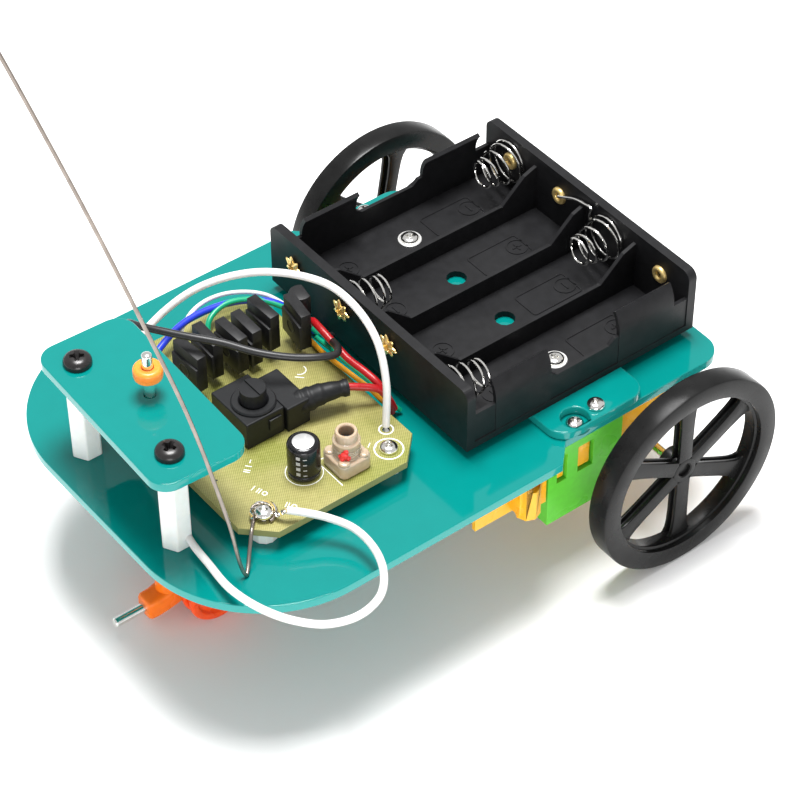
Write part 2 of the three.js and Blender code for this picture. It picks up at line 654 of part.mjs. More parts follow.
// ---- receiver board, drawn from the top face of the board ---------------------------
function circuitBoard() {
  const { half, front, rear, chamfer, thickness } = BOARD;
  const shape = outline([
    [-half + chamfer, front], [half - chamfer, front], [half, front + chamfer],
    [half, rear - chamfer], [half - chamfer, rear], [-half + chamfer, rear],
    [-half, rear - chamfer], [-half, front + chamfer],
  ]);
  const hole = ({ x, y }) => rod('z', x, y, -thickness - 1, 1, M2_HOLE, 10);
  return cut(slab(shape, -thickness, 0), hole(BOARD_SCREW), hole(ANTENNA_SCREW));
}

function boardSpacer() {
  const z0 = PLATE - BOARD_TOP;
  return cut(
    rod('z', 0, 0, z0, -BOARD.thickness, 2.6, 12),
    rod('z', 0, 0, z0 - 1, 0, M2_HOLE, 10),
  );
}

const ANTENNA_R = 0.4;
const EYE_TOP = 2 * ANTENNA_R + 0.1;
// one steel wire: an eye round the screw, a bend down to the plate, then the whip
function antenna() {
  const { x, y } = ANTENNA_SCREW;
  const eyeR = 1.9;
  const eyeSteps = 7;
  const points = [];
  for (let k = 0; k <= eyeSteps; k += 1) {
    const a = (1.39 * Math.PI * k) / eyeSteps;
    points.push([x + eyeR * Math.cos(a), y + eyeR * Math.sin(a), ANTENNA_R + 0.05]);
  }
  points.push([24.2, -84.7, 0.45], [25.4, -85.8, 0.4], [27.6, -88, -2.2]);
  points.push([29.5, -89.8, -3.8], [30.2, -90.6, -4.1], [29.9, -91.3, -2.2]);
  points.push([28.5, -92.4, 8.3], [24.4, -96.5, 33.9]);
  points.push([20.2, -100.7, 53.1], [14.6, -106.3, 77.2], [6.4, -114.5, 109.2]);
  points.push([4.6, -116.3, 115.4]);
  return wire(points, ANTENNA_R, 54);
}

const SWITCH = { x0: -4, x1: 7.7, front: -74, step: -65.3, rear: -60, height: 6.2 };
const BUTTON = { x: 3, y: -69.1, r: 2.55, proud: 3.2, length: 5.4 };
const COLLAR_HEIGHT = 0.6;
function switchBody() {
  const { x0, x1, front, step, rear, height } = SWITCH;
  const { x, y, r, length, proud } = BUTTON;
  const buttonRoom = length - proud + 2.2;
  return cut(
    join(
      box(x0, x1, front, step, 0, height),
      box(x0 + 1.9, x1 + 0.8, step - 0.5, rear, 0, height - 0.3),
      rod('z', x, y, height - 1, height + COLLAR_HEIGHT, 4.35, 24),
    ),
    rod('z', x, y, height + COLLAR_HEIGHT - buttonRoom, height + 2, r + GAP, 20),
  );
}

// the push button, drawn around its own axis
function switchButton() {
  const { r, proud, length } = BUTTON;
  const top = SWITCH.height + COLLAR_HEIGHT + proud;
  const step = box(-3, -0.4, -3, 3, top - 0.4, top + 1);
  return cut(rod('z', 0, 0, top - length, top, r, 20), step);
}

// a radial can capacitor with its crimped top edge
function capacitor() {
  const profile = [[0, 0.05], [2.6, 0.05], [3.15, 0.6], [3.15, 7.6], [2.7, 8.1], [0, 8.1]];
  const points = profile.map(([r, z]) => new THREE.Vector2(r, z));
  return solid(new THREE.LatheGeometry(points, 20).rotateX(Math.PI / 2));
}

function coil() {
  return cut(
    join(
      box(-3.5, 3.5, -3.5, 3.5, 0.05, 3.2),
      rod('z', 0, 0, 1, 6.8, 2.5, 16),
      rod('z', 0, 0, 6, 8.8, 2, 16),
    ),
    rod('z', 0, 0, 2, 9, 1.45, 16),
  );
}

// a power transistor standing on its legs, its metal tab at the back
function transistor(lift) {
  const legs = [-2.3, 0, 2.3].map((u) => box(u - 0.35, u + 0.35, -0.3, 0.3, 0.05, lift + 1));
  return join(
    box(-3.8, 3.8, -0.9, 1.3, lift, lift + 8.4),
    box(-3.8, 3.8, -1.3, 1.3, lift, lift + 5.8),
    ...legs,
  );
}

const TRANSISTORS = [
  { x: -12.5, y: -72.9, lift: 2.3, turn: 0.06 },
  { x: -13.6, y: -68.1, lift: 2.5, turn: -0.04 },
  { x: -12.2, y: -63.5, lift: 2.2, turn: 0.03 },
  { x: -12.4, y: -59.9, lift: 2, turn: -0.03 },
  { x: -12.9, y: -55.5, lift: 3, turn: 0.02 },
  { x: -9.4, y: -50, lift: 2.9, turn: -0.16 },
];

add(board, 'circuit_board', circuitBoard(), BOARD_FACE);
add(board, 'board_spacer', boardSpacer(), NYLON, [BOARD_SCREW.x, BOARD_SCREW.y, 0]);
add(board, 'antenna_spacer', boardSpacer(), NYLON, [ANTENNA_SCREW.x, ANTENNA_SCREW.y, 0]);
add(board, 'board_screw', screw({ ...M2, length: 6.4 }), STEEL, [BOARD_SCREW.x, BOARD_SCREW.y, 0]);
add(board, 'antenna_screw', screw({ ...M2, length: 7.5 }), STEEL,
  [ANTENNA_SCREW.x, ANTENNA_SCREW.y, EYE_TOP]);
add(board, 'antenna', antenna(), STEEL);
add(board, 'switch_body', switchBody(), BLACK);
add(board, 'switch_button', switchButton(), BLACK, [BUTTON.x, BUTTON.y, 0]);
add(board, 'capacitor', capacitor(), CAN_SLEEVE, [18.8, -69.1, 0]);
add(board, 'coil', coil(), COIL_FORM, [22, -61.6, 0]);
TRANSISTORS.forEach(({ x, y, lift, turn }, i) => {
  add(board, `transistor_${i + 1}`, transistor(lift), BLACK, [x, y, 0], turn);
});

// ---- leads --------------------------------------------------------------------------
const LEAD_R = 0.75;
// from the board over the transistors, under the front plate and back to the antenna's eye
const AERIAL_LEAD = [
  [19.1, -50.2, 0.9], [17.4, -48.8, 10.4], [13.2, -47.8, 17.4], [4.6, -46.9, 19.8],
  [-4.4, -47.8, 19.6], [-14.8, -54.7, 18.4], [-22, -63.8, 14.4], [-24.8, -73, 8.4],
  [-22.4, -81, 4.9], [-14, -86.4, 2.8], [-4.5, -86.6, 2.4], [5, -88.2, 2.4],
  [16, -90.9, 1], [24.6, -93.6, -1.6], [32.9, -96, -1.6], [41, -94.8, -1],
  [47.5, -92.2, -0.2], [51.6, -88.2, -0.2], [53.4, -82.6, -0.2], [52, -76.8, -0.2],
  [47.5, -72.6, -0.2], [41.9, -70.6, 0], [36.2, -70.8, 0.4], [31.8, -73.4, 1.2],
  [28.9, -76.6, 2.2], [27, -79, 2.8],
];
// from the board over the transistors to the battery box
const BATTERY_LEAD = [
  [-26, -78.5, 0.9], [-26, -78.3, 7], [-24.6, -78.6, 11.6], [-20.7, -78.2, 13.4],
  [-12.9, -73.3, 13.8], [-7.3, -68.6, 13.4], [-1.9, -64.3, 12.4], [2.5, -59.1, 11.4],
  [5, -54.6, 10.8], [5.2, -51.6, 9.8], [2.6, -49, 8.2], [-1.6, -47.4, 6.2],
  [-5, -45.8, 3.6], [-7.2, -43.4, 1.2],
];
// from the tail of the switch down beside the battery box
const SWITCH_LEAD = [
  [6.6, -59.6, 4.4], [8, -56, 4.9], [9.3, -52.4, 4.9], [10.7, -49.8, 4.5],
  [12.4, -47, 3.6], [13.2, -45.6, 1.6], [13.3, -44.8, -1], [13.2, -44.4, -3.4],
];
add(board, 'aerial_lead', wire(AERIAL_LEAD, LEAD_R, 48), WHITE_WIRE);
add(board, 'battery_lead', wire(BATTERY_LEAD, LEAD_R, 24), BLACK_SLEEVE);
add(board, 'switch_lead', wire(SWITCH_LEAD, LEAD_R, 14), RED_WIRE);

export default car;
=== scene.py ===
# Looks of the two wheel robot car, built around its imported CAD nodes. Shapes are drawn in
# millimetres in the car's own frame: x to the car's left, y to the rear from the drive wheel
# axis, z up from the underside of the chassis plate. build() carries them to the row frame.
import json
from math import copysign, cos, degrees, pi, radians, sin, sqrt

import bmesh
import bpy
from mathutils import Matrix, Vector
from mathutils.geometry import tessellate_polygon


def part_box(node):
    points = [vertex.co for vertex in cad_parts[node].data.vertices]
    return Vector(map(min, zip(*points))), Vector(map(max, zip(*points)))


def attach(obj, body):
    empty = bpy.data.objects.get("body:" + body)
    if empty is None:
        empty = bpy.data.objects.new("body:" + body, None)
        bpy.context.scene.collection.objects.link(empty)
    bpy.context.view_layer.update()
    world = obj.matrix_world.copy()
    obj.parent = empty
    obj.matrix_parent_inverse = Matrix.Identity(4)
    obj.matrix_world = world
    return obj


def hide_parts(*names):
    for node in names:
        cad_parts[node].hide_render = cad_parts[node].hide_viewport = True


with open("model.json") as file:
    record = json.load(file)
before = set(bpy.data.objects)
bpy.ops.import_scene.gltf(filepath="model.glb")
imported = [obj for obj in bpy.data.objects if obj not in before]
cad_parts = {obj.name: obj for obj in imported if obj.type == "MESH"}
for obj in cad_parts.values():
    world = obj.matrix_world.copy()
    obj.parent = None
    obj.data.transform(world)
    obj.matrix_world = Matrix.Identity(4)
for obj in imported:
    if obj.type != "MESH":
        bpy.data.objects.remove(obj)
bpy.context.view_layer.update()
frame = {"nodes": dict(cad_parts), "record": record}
record = frame["record"]
nodes = frame["nodes"]
body_of = {n: b for b, members in record["behaviour"]["bodies"].items() for n in members}

MM = 1000.0
wheel_low, wheel_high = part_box("left_wheel")
AXIS_Y = (wheel_low.y + wheel_high.y) / 2 * MM
BASE_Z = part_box("chassis_plate")[0].z * MM
MIRROR = Matrix.Scale(-1, 4, (1, 0, 0))


class Box:
    """The box of a CAD node in the car's frame, in millimetres."""

    def __init__(self, node):
        low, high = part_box(node)
        self.x0, self.x1 = low.x * MM, high.x * MM
        self.y0, self.y1 = low.y * MM - AXIS_Y, high.y * MM - AXIS_Y
        self.z0, self.z1 = low.z * MM - BASE_Z, high.z * MM - BASE_Z
        self.cx = (self.x0 + self.x1) / 2
        self.cy = (self.y0 + self.y1) / 2
        self.cz = (self.z0 + self.z1) / 2


# ---- shapes -------------------------------------------------------------------------
class Shape:
    """Vertices and faces, in millimetres."""

    def __init__(self, verts, faces):
        self.verts = [Vector(v) for v in verts]
        self.faces = [list(f) for f in faces]

    def placed(self, matrix):
        return Shape([matrix @ v for v in self.verts], self.faces)

    def moved(self, x=0, y=0, z=0):
        return self.placed(Matrix.Translation((x, y, z)))

    def on(self, box):
        """Moved over the middle of a box, at its own height."""
        return self.moved(box.cx, box.cy)

    def turned(self, degrees, axis="Z"):
        return self.placed(Matrix.Rotation(radians(degrees), 4, axis))

    def along(self, axis):
        """A shape drawn round z, laid along another axis."""
        return {"x": self.turned(90, "Y"), "y": self.turned(-90, "X"), "z": self}[axis]

    def __add__(self, other):
        n = len(self.verts)
        return Shape(self.verts + other.verts, self.faces + [[i + n for i in f] for f in other.faces])


def total(shapes):
    whole = Shape([], [])
    for s in shapes:
        whole = whole + s
    return whole


def arc(cx, cy, r, start, end, steps=12):
    angles = [radians(start + (end - start) * k / steps) for k in range(steps + 1)]
    return [(cx + r * cos(a), cy + r * sin(a)) for a in angles]


def circle(cx, cy, r, steps=40):
    return arc(cx, cy, r, 0, 360, steps)[:-1]


def rounded(x0, x1, y0, y1, r, steps=8):
    corners = [(x1 - r, y0 + r, -90), (x1 - r, y1 - r, 0), (x0 + r, y1 - r, 90), (x0 + r, y0 + r, 180)]
    return [p for cx, cy, a in corners for p in arc(cx, cy, r, a, a + 90, steps)]


def loft(rings, caps=True):
    """Rings of the same number of points, joined one to the next."""
    n = len(rings[0])
    verts = [p for ring in rings for p in ring]
    faces = []
    for k in range(len(rings) - 1):
        for i in range(n):
            j = (i + 1) % n
            faces.append([k * n + i, k * n + j, (k + 1) * n + j, (k + 1) * n + i])
    if caps:
        faces.append(list(range(n))[::-1])
        faces.append([(len(rings) - 1) * n + i for i in range(n)])
    return Shape(verts, faces)


def lathe(profile, steps=48, closed=False, wave=None, sweep=360):
    """A profile of (radius, z) turned round z. wave(angle) scales the radius."""
    verts, rings = [], []
    full = sweep >= 360
    count = steps if full else steps + 1
    for r, z in profile:
        if r < 1e-6:
            rings.append([len(verts)] * count)
            verts.append((0, 0, z))
            continue
        rings.append(list(range(len(verts), len(verts) + count)))
        for k in range(count):
            a = radians(sweep) * k / steps
            s = r * (wave(a) if wave else 1)
            verts.append((s * cos(a), s * sin(a), z))
    pairs = list(zip(rings, rings[1:])) + ([(rings[-1], rings[0])] if closed else [])
    faces = []
    for low, high in pairs:
        for i in range(steps):
            j = (i + 1) % count
            face = []
            for v in (low[i], low[j], high[j], high[i]):
                if v not in face:
                    face.append(v)
            if len(face) > 2:
                faces.append(face)
    if not full:
        faces.append([ring[0] for ring in rings])
        faces.append([ring[-1] for ring in rings][::-1])
    return Shape(verts, faces)


def disc(r, z0, z1, steps, hole=0.0):
    """A plain cylinder round z, or a tube."""
    return lathe([(hole, z0), (r, z0), (r, z1), (hole, z1)], steps, closed=hole > 0)


def lifted(z0, *profile):
    """Points of a profile whose heights are counted from z0."""
    return [(r, z0 + z) for r, z in profile]


def inset(loop, distance):
    """A counterclockwise loop drawn in by distance; a clockwise one opens up."""
    out = []
    points = [Vector(p) for p in loop]
    for i, p in enumerate(points):
        a = (p - points[i - 1]).normalized()
        b = (points[(i + 1) % len(points)] - p).normalized()
        m = Vector((-a.y - b.y, a.x + b.x))
        m = m * (2 / max(m.length_squared, 0.5))
        out.append(tuple(p + m * distance))
    return out


def sheet(outer, holes, z0, z1, edge=0.15, rounds=2):
    """A flat plate with a rounded edge all round its outline and its holes."""
    loops = [outer] + [hole[::-1] for hole in holes]
    levels = []
    for k in range(rounds + 1):
        a = pi / 2 * k / rounds
        levels.append((edge * (1 - sin(a)), z0 + edge * (1 - cos(a))))
    levels += [(d, z0 + z1 - z) for d, z in reversed(levels)]
    verts, faces, caps = [], [], ([], [])
    for loop in loops:
        start, n = len(verts), len(loop)
        for d, z in levels:
            verts += [(x, y, z) for x, y in inset(loop, d)]
        for k in range(len(levels) - 1):
            for i in range(n):
                j = (i + 1) % n
                a, b = start + k * n, start + (k + 1) * n
                faces.append([a + i, a + j, b + j, b + i])
        caps[0].extend(range(start, start + n))
        caps[1].extend(range(start + (len(levels) - 1) * n, start + len(levels) * n))
    polygons, k = [], 0
    for loop in loops:
        polygons.append([Vector(verts[i]) for i in caps[1][k:k + len(loop)]])
        k += len(loop)
    for triangle in tessellate_polygon(polygons):
        faces.append([caps[1][i] for i in triangle])
        faces.append([caps[0][i] for i in triangle][::-1])
    return Shape(verts, faces)


def curve_points(points, per_span=8):
    """A centripetal Catmull-Rom curve through the points."""
    pts = [Vector(p) for p in points]
    pts = [2 * pts[0] - pts[1]] + pts + [2 * pts[-1] - pts[-2]]
    out = []
    for p0, p1, p2, p3 in zip(pts, pts[1:], pts[2:], pts[3:]):
        t01, t12, t23 = [sqrt((b - a).length) for a, b in ((p0, p1), (p1, p2), (p2, p3))]
        m1 = p2 - p1 + t12 * ((p1 - p0) / t01 - (p2 - p0) / (t01 + t12))
        m2 = p2 - p1 + t12 * ((p3 - p2) / t23 - (p3 - p1) / (t12 + t23))
        for k in range(per_span):
            t = k / per_span
            out.append((2 * t**3 - 3 * t**2 + 1) * p1 + (t**3 - 2 * t**2 + t) * m1
                       + (3 * t**2 - 2 * t**3) * p2 + (t**3 - t**2) * m2)
    out.append(pts[-2])
    return out


def tube(points, radius, sides=12, per_span=8):
    """A round wire along a smooth curve. radius may be a function of the share of its length."""
    path = curve_points(points, per_span) if per_span else [Vector(p) for p in points]
    at = radius if callable(radius) else lambda t: radius
    tangent = (path[1] - path[0]).normalized()
    side = tangent.orthogonal().normalized()
    rings = []
    for k, p in enumerate(path):
        new = (path[min(k + 1, len(path) - 1)] - path[max(k - 1, 0)]).normalized()
        side = (tangent.rotation_difference(new) @ side).normalized()
        tangent = new
        other = tangent.cross(side)
        r = at(k / (len(path) - 1))
        rings.append([p + r * (cos(a) * side + sin(a) * other)
                      for a in (2 * pi * i / sides for i in range(sides))])
    return loft(rings)


def added(name, data):
    """A new object in the scene."""
    obj = bpy.data.objects.new(name, data)
    bpy.context.scene.collection.objects.link(obj)
    return obj


def to_bmesh(shape):
    bm = bmesh.new()
    made = [bm.verts.new(v) for v in shape.verts]
    for f in shape.faces:
        try:
            bm.faces.new([made[i] for i in f])
        except ValueError:
            pass
    bmesh.ops.remove_doubles(bm, verts=bm.verts, dist=1e-4)
    bmesh.ops.recalc_face_normals(bm, faces=bm.faces)
    return bm


def to_mesh(name, shape, matrix=Matrix()):
    """A shape as a Blender mesh, carried by a matrix."""
    mesh = bpy.data.meshes.new(name)
    bm = to_bmesh(shape)
    bmesh.ops.transform(bm, verts=bm.verts, matrix=matrix)
    bm.to_mesh(mesh)
    bm.free()
    return mesh


def from_bmesh(bm):
    bm.verts.index_update()
    shape = Shape([v.co for v in bm.verts], [[v.index for v in f.verts] for f in bm.faces])
    bm.free()
    return shape


def bevelled(shape, width, segments=2, angle=30):
    bm = to_bmesh(shape)
    sharp = [e for e in bm.edges
             if len(e.link_faces) == 2 and e.calc_face_angle() > radians(angle)]
    bmesh.ops.bevel(bm, geom=sharp, offset=width, segments=segments, profile=0.5,
                    affect="EDGES", clamp_overlap=True)
    return from_bmesh(bm)


def block(x0, x1, y0, y1, z0, z1, edge=0.2, segments=2):
    rings = [[(x0, y0, z), (x1, y0, z), (x1, y1, z), (x0, y1, z)] for z in (z0, z1)]
    return bevelled(loft(rings), edge, segments)


def carved(shape, *cutters):
    """The shape with the cutters taken away."""
    made = [added("carving", to_mesh("carving", s)) for s in (shape, *cutters)]
    for cutter in made[1:]:
        cut = made[0].modifiers.new("cut", "BOOLEAN")
        cut.operation = "DIFFERENCE"
        cut.solver = "EXACT"
        cut.object = cutter
    bpy.context.view_layer.update()
    result = made[0].evaluated_get(bpy.context.evaluated_depsgraph_get()).to_mesh()
    out = Shape([v.co.copy() for v in result.vertices], [list(p.vertices) for p in result.polygons])
    for o in made:
        bpy.data.objects.remove(o)
    return out


# ---- looks --------------------------------------------------------------------------
def srgb(*channels):
    return [c / 255 / 12.92 if c <= 10 else ((c / 255 + 0.055) / 1.055) ** 2.4 for c in channels]


class Nodes:
    """A material's node tree, written as nested calls."""

    def __init__(self, name):
        self.material = bpy.data.materials.new(name)
        self.material.use_nodes = True
        self.tree = self.material.node_tree
        self.shader = self.tree.nodes["Principled BSDF"]
        coordinates = self.tree.nodes.new("ShaderNodeTexCoord")
        self.place = coordinates.outputs["Object"]
        self.normal = coordinates.outputs["Normal"]

    def link(self, value, socket):
        if hasattr(value, "is_output"):
            self.tree.links.new(value, socket)
        else:
            socket.default_value = value

    def node(self, kind, *values, **settings):
        """A new node with its settings, and its first inputs fed in order."""
        node = self.tree.nodes.new("ShaderNode" + kind)
        for key, setting in settings.items():
            setattr(node, key, setting)
        for socket, value in zip(node.inputs, values):
            self.link(value, socket)
        return node

    def stretch(self, scale):
        still = (0, 0, 0)
        return self.node("Mapping", self.place, still, still, scale).outputs[0]

    def noise(self, scale, detail=4.0, place=None):
        return self.node("TexNoise", place or self.place, 0.0, scale, detail).outputs["Fac"]

    def ranged(self, value, low, high, to_low, to_high):
        return self.node("MapRange", value, low, high, to_low, to_high).outputs[0]

    def mix(self, factor, a, b):
        node = self.node("Mix", factor, data_type="RGBA")
        for value, socket in ((a, node.inputs[6]), (b, node.inputs[7])):
            self.link(value if hasattr(value, "is_output") else (*value, 1), socket)
        return node.outputs[2]

    def maths(self, operation, a, b=0.0):
        return self.node("Math", a, b, operation=operation).outputs[0]

    def parts(self, vector):
        return self.node("SeparateXYZ", vector).outputs

    def facing(self, low=0.35, high=0.8):
        """1 on upright faces, 0 on level ones."""
        level = self.maths("ABSOLUTE", self.parts(self.normal)[2])
        return self.ranged(level, low, high, 1.0, 0.0)

    def bump(self, height, strength, depth):
        node = self.node("Bump")
        self.link(height, node.inputs["Height"])
        self.link(strength, node.inputs["Strength"])
        self.link(depth, node.inputs["Distance"])
        self.link(node.outputs[0], self.shader.inputs["Normal"])

    def set(self, **values):
        for key, value in values.items():
            self.link(value, self.shader.inputs[key.replace("_", " ")])


LOOKS = {}


def look(name, color, rough, metallic=0.0, shade=0.08, grain=700.0, smudge=90.0, rough_shift=0.08,
         bump=0.2, depth=3e-5, streak=(1, 1, 1), edge=None, glow=0.0, specular=0.5, coat=0.0):
    """A moulded, drawn or coated surface: mottled colour, smudged gloss and a fine grain."""
    n = Nodes(name)
    place = n.stretch(streak)
    fine = n.noise(grain, 5.0, place)
    color_of = n.mix(n.ranged(fine, 0.3, 0.7, 0.0, 1.0),
                     [c * (1 - shade) for c in color], [min(1, c * (1 + shade)) for c in color])
    # edge: a second colour on upright faces; on the acrylic it is painted light, the lighter glow of its cut
    # edges
    if edge:
        color_of = n.mix(n.facing(), color_of, edge)
    smudges = n.noise(smudge, 3.0)
    n.set(Base_Color=color_of, Metallic=metallic,
          Roughness=n.ranged(smudges, 0.3, 0.7, max(0.02, rough - rough_shift), rough + rough_shift))
    n.shader.inputs["Specular IOR Level"].default_value = specular
    if glow:
        n.set(Subsurface_Weight=glow)
        n.shader.inputs["Subsurface Radius"].default_value = (1.0, 0.7, 0.5)
        n.shader.inputs["Subsurface Scale"].default_value = 0.0015
    if coat:
        n.set(Coat_Weight=coat, Coat_Roughness=0.08)
    n.bump(fine, bump, depth)
    LOOKS[name] = n.material
    return n


# the lighter teal given as edge is painted light: the glow of the cut edges, laid on every upright face
look("acrylic", srgb(2, 120, 115), 0.07, shade=0.02, grain=250, rough_shift=0.03, bump=0.04, depth=1e-5,
     edge=srgb(26, 152, 146), smudge=60, specular=0.42)
look("washer_steel", (0.95, 0.94, 0.92), 0.38, 1.0, shade=0.06)
look("steel", (0.66, 0.67, 0.68), 0.22, 1.0, shade=0.1, streak=(1, 1, 0.15))
look("bright_steel", (0.86, 0.85, 0.82), 0.13, 1.0, shade=0.08, rough_shift=0.06, bump=0.1)
look("antenna_wire", (0.3, 0.26, 0.23), 0.3, 1.0, shade=0.18, grain=350, rough_shift=0.1)
look("black_steel", (0.022, 0.02, 0.02), 0.22, 0.35, shade=0.2)
look("nylon", (0.74, 0.77, 0.75), 0.38, shade=0.03, glow=0.35)
look("orange", (1.0, 0.19, 0.008), 0.3, shade=0.06, glow=0.25, specular=0.4)
look("red_orange", (1.0, 0.085, 0.008), 0.28, shade=0.08, glow=0.15, specular=0.45)
look("golden", (0.98, 0.27, 0.03), 0.32, shade=0.05, glow=0.3)
look("amber", (1.0, 0.47, 0.015), 0.26, shade=0.07, glow=0.3, grain=300)
look("peach", (0.9, 0.44, 0.13), 0.3, shade=0.06, glow=0.35, grain=300)
look("green", (0.12, 0.6, 0.04), 0.3, shade=0.05, glow=0.15)
look("black", (0.008, 0.008, 0.009), 0.46, shade=0.25, specular=0.22, grain=500, bump=0.35)
look("wheel_black", (0.0075, 0.0075, 0.0075), 0.3, shade=0.3, specular=0.17, grain=260, smudge=160,
     rough_shift=0.1, bump=0.3)
look("switch_black", (0.008, 0.0085, 0.0095), 0.46, shade=0.15, specular=0.28, grain=900, bump=0.3)
look("transistor_black", (0.012, 0.012, 0.013), 0.45, shade=0.2, specular=0.3, grain=1200, bump=0.5)
look("ink", (0.82, 0.83, 0.78), 0.6, shade=0.1, grain=1500, bump=0.3)
look("can_sleeve", (0.004, 0.004, 0.005), 0.2, shade=0.2, specular=0.35, coat=0.2, bump=0.1)
look("sleeve_print", (0.42, 0.42, 0.43), 0.3, shade=0.15, grain=1500)
look("aluminium", (0.9, 0.9, 0.9), 0.35, 1.0, shade=0.05, grain=900)
look("coil_form", (0.44, 0.34, 0.24), 0.22, shade=0.08, glow=0.5, coat=0.4)
look("red_wax", (0.75, 0.03, 0.03), 0.3, shade=0.15)
look("wire_white", (0.7, 0.69, 0.68), 0.42, shade=0.03, glow=0.2, smudge=200)
look("wire_black", (0.012, 0.012, 0.013), 0.4, shade=0.15)
look("wire_red", (0.42, 0.009, 0.013), 0.3, shade=0.08, glow=0.1)
look("wire_blue", (0.015, 0.04, 0.55), 0.35, shade=0.08)
look("wire_green", (0.0, 0.32, 0.16), 0.35, shade=0.08)
look("wire_yellow", (0.75, 0.33, 0.01), 0.35, shade=0.08)
look("brass", (0.95, 0.68, 0.27), 0.32, 0.75, shade=0.12, rough_shift=0.1)
look("solder", (0.7, 0.7, 0.7), 0.22, 1.0, shade=0.15, grain=1500, bump=0.6, depth=6e-5)
look("motor_can", (0.62, 0.62, 0.63), 0.3, 1.0, shade=0.08, streak=(1, 0.1, 1))


THREAD_PITCH = 0.55  # millimetres between the glass cloth's threads


def board_look():
    """Glass cloth laminate: crossed threads over a patchy yellow green ground."""
    n = Nodes("board")
    along = n.parts(n.place)
    wobble = n.ranged(n.noise(160.0, 2.0), 0.0, 1.0, 0.0, 3.0)
    thread = 2 * pi * MM / THREAD_PITCH
    warp, weft = (n.maths("SINE", n.maths("ADD", n.maths("MULTIPLY", along[k], thread), wobble))
                  for k in (0, 1))
    fuzz = n.noise(900.0, 3.0)
    weave = n.ranged(n.maths("ADD", n.maths("MULTIPLY", warp, weft), fuzz), -0.1, 1.1, 0.0, 1.0)
    patches = n.ranged(n.noise(55.0, 3.0), 0.38, 0.62, 0.0, 1.0)
    ground = n.mix(patches, srgb(112, 118, 30), srgb(156, 146, 92))
    threads = n.mix(weave, srgb(84, 90, 14), srgb(178, 174, 104))
    body = n.mix(0.45, ground, threads)
    n.set(Base_Color=n.mix(n.facing(), body, srgb(140, 136, 84)),
          Roughness=n.ranged(weave, 0.0, 1.0, 0.3, 0.5))
    n.bump(weave, 0.25, 4e-5)
    LOOKS["board"] = n.material


board_look()


# ---- pieces -------------------------------------------------------------------------
def build(name, shape, look_name, *stands_for, sharp=32, weighted=False):
    """One piece of the object, riding on the body of the CAD nodes that it stands for."""
    mesh = to_mesh(name, shape, Matrix.Scale(1 / MM, 4) @ Matrix.Translation((0, AXIS_Y, BASE_Z)))
    mesh.shade_smooth()
    mesh.set_sharp_from_angle(angle=radians(sharp))
    mesh.materials.append(LOOKS[look_name])
    obj = added(name, mesh)
    if weighted:
        obj.modifiers.new("even_shading", "WEIGHTED_NORMAL").keep_sharp = True
    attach(obj, body_of[stands_for[0]] if stands_for else "root")
    if stands_for:
        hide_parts(*stands_for)


def pair(kind):
    return [f"left_{kind}", f"right_{kind}"]


def build_pair(name, left, look_name, *stands_for):
    """A piece on the left and its mirror image on the right."""
    for side, shape in (("left", left), ("right", left.placed(MIRROR))):
        build(f"{side}_{name}", shape, look_name, *(f"{side}_{n}" for n in stands_for))


def dress(node, look_name, edge=0.25, segments=2):
    """A CAD node that is shown as it is, with its edges broken and its finish on."""
    obj = nodes[node]
    obj.data.materials.clear()
    obj.data.materials.append(LOOKS[look_name])
    obj.modifiers.new("weld", "WELD").merge_threshold = 1e-6
    flat = obj.modifiers.new("flat", "DECIMATE")
    flat.decimate_type = "DISSOLVE"
    flat.angle_limit = radians(1)
    soft = obj.modifiers.new("edges", "BEVEL")
    soft.width = edge / MM
    soft.segments = segments
    soft.limit_method = "ANGLE"
    soft.angle_limit = radians(33)
    soft.use_clamp_overlap = True
    obj.modifiers.new("even_shading", "WEIGHTED_NORMAL").keep_sharp = True


# ---- plates -------------------------------------------------------------------------
FRONT_SKEW = -2.0  # degrees: the front plate sits slightly turned on its two screws
SMALL_HOLE = 1.1   # hole radii in the plates
PIN_HOLE = 1.15
PLATE_CORNER = 4


def screw_holes(names, r):
    return [circle(Box(n).cx, Box(n).cy, r, 24) for n in names]


def chassis_outline(b):
    """A rounded nose, sides that step in beside the wheels, and small rear corners."""
    nose, tail, step, step_y = 27, 5, 4.5, -26.8
    half, waist = b.x1, b.x1 - step
    nx, tx = half - nose, waist - tail
    outline = arc(nx, b.y0 + nose, nose, -90, 0, 40) + [(half, step_y), (waist, step_y + step)]
    outline += arc(tx, b.y1 - tail, tail, 0, 90) + arc(-tx, b.y1 - tail, tail, 90, 180)
    outline += [(-waist, step_y + step), (-half, step_y)]
    return outline + arc(-nx, b.y0 + nose, nose, 180, 270, 40)


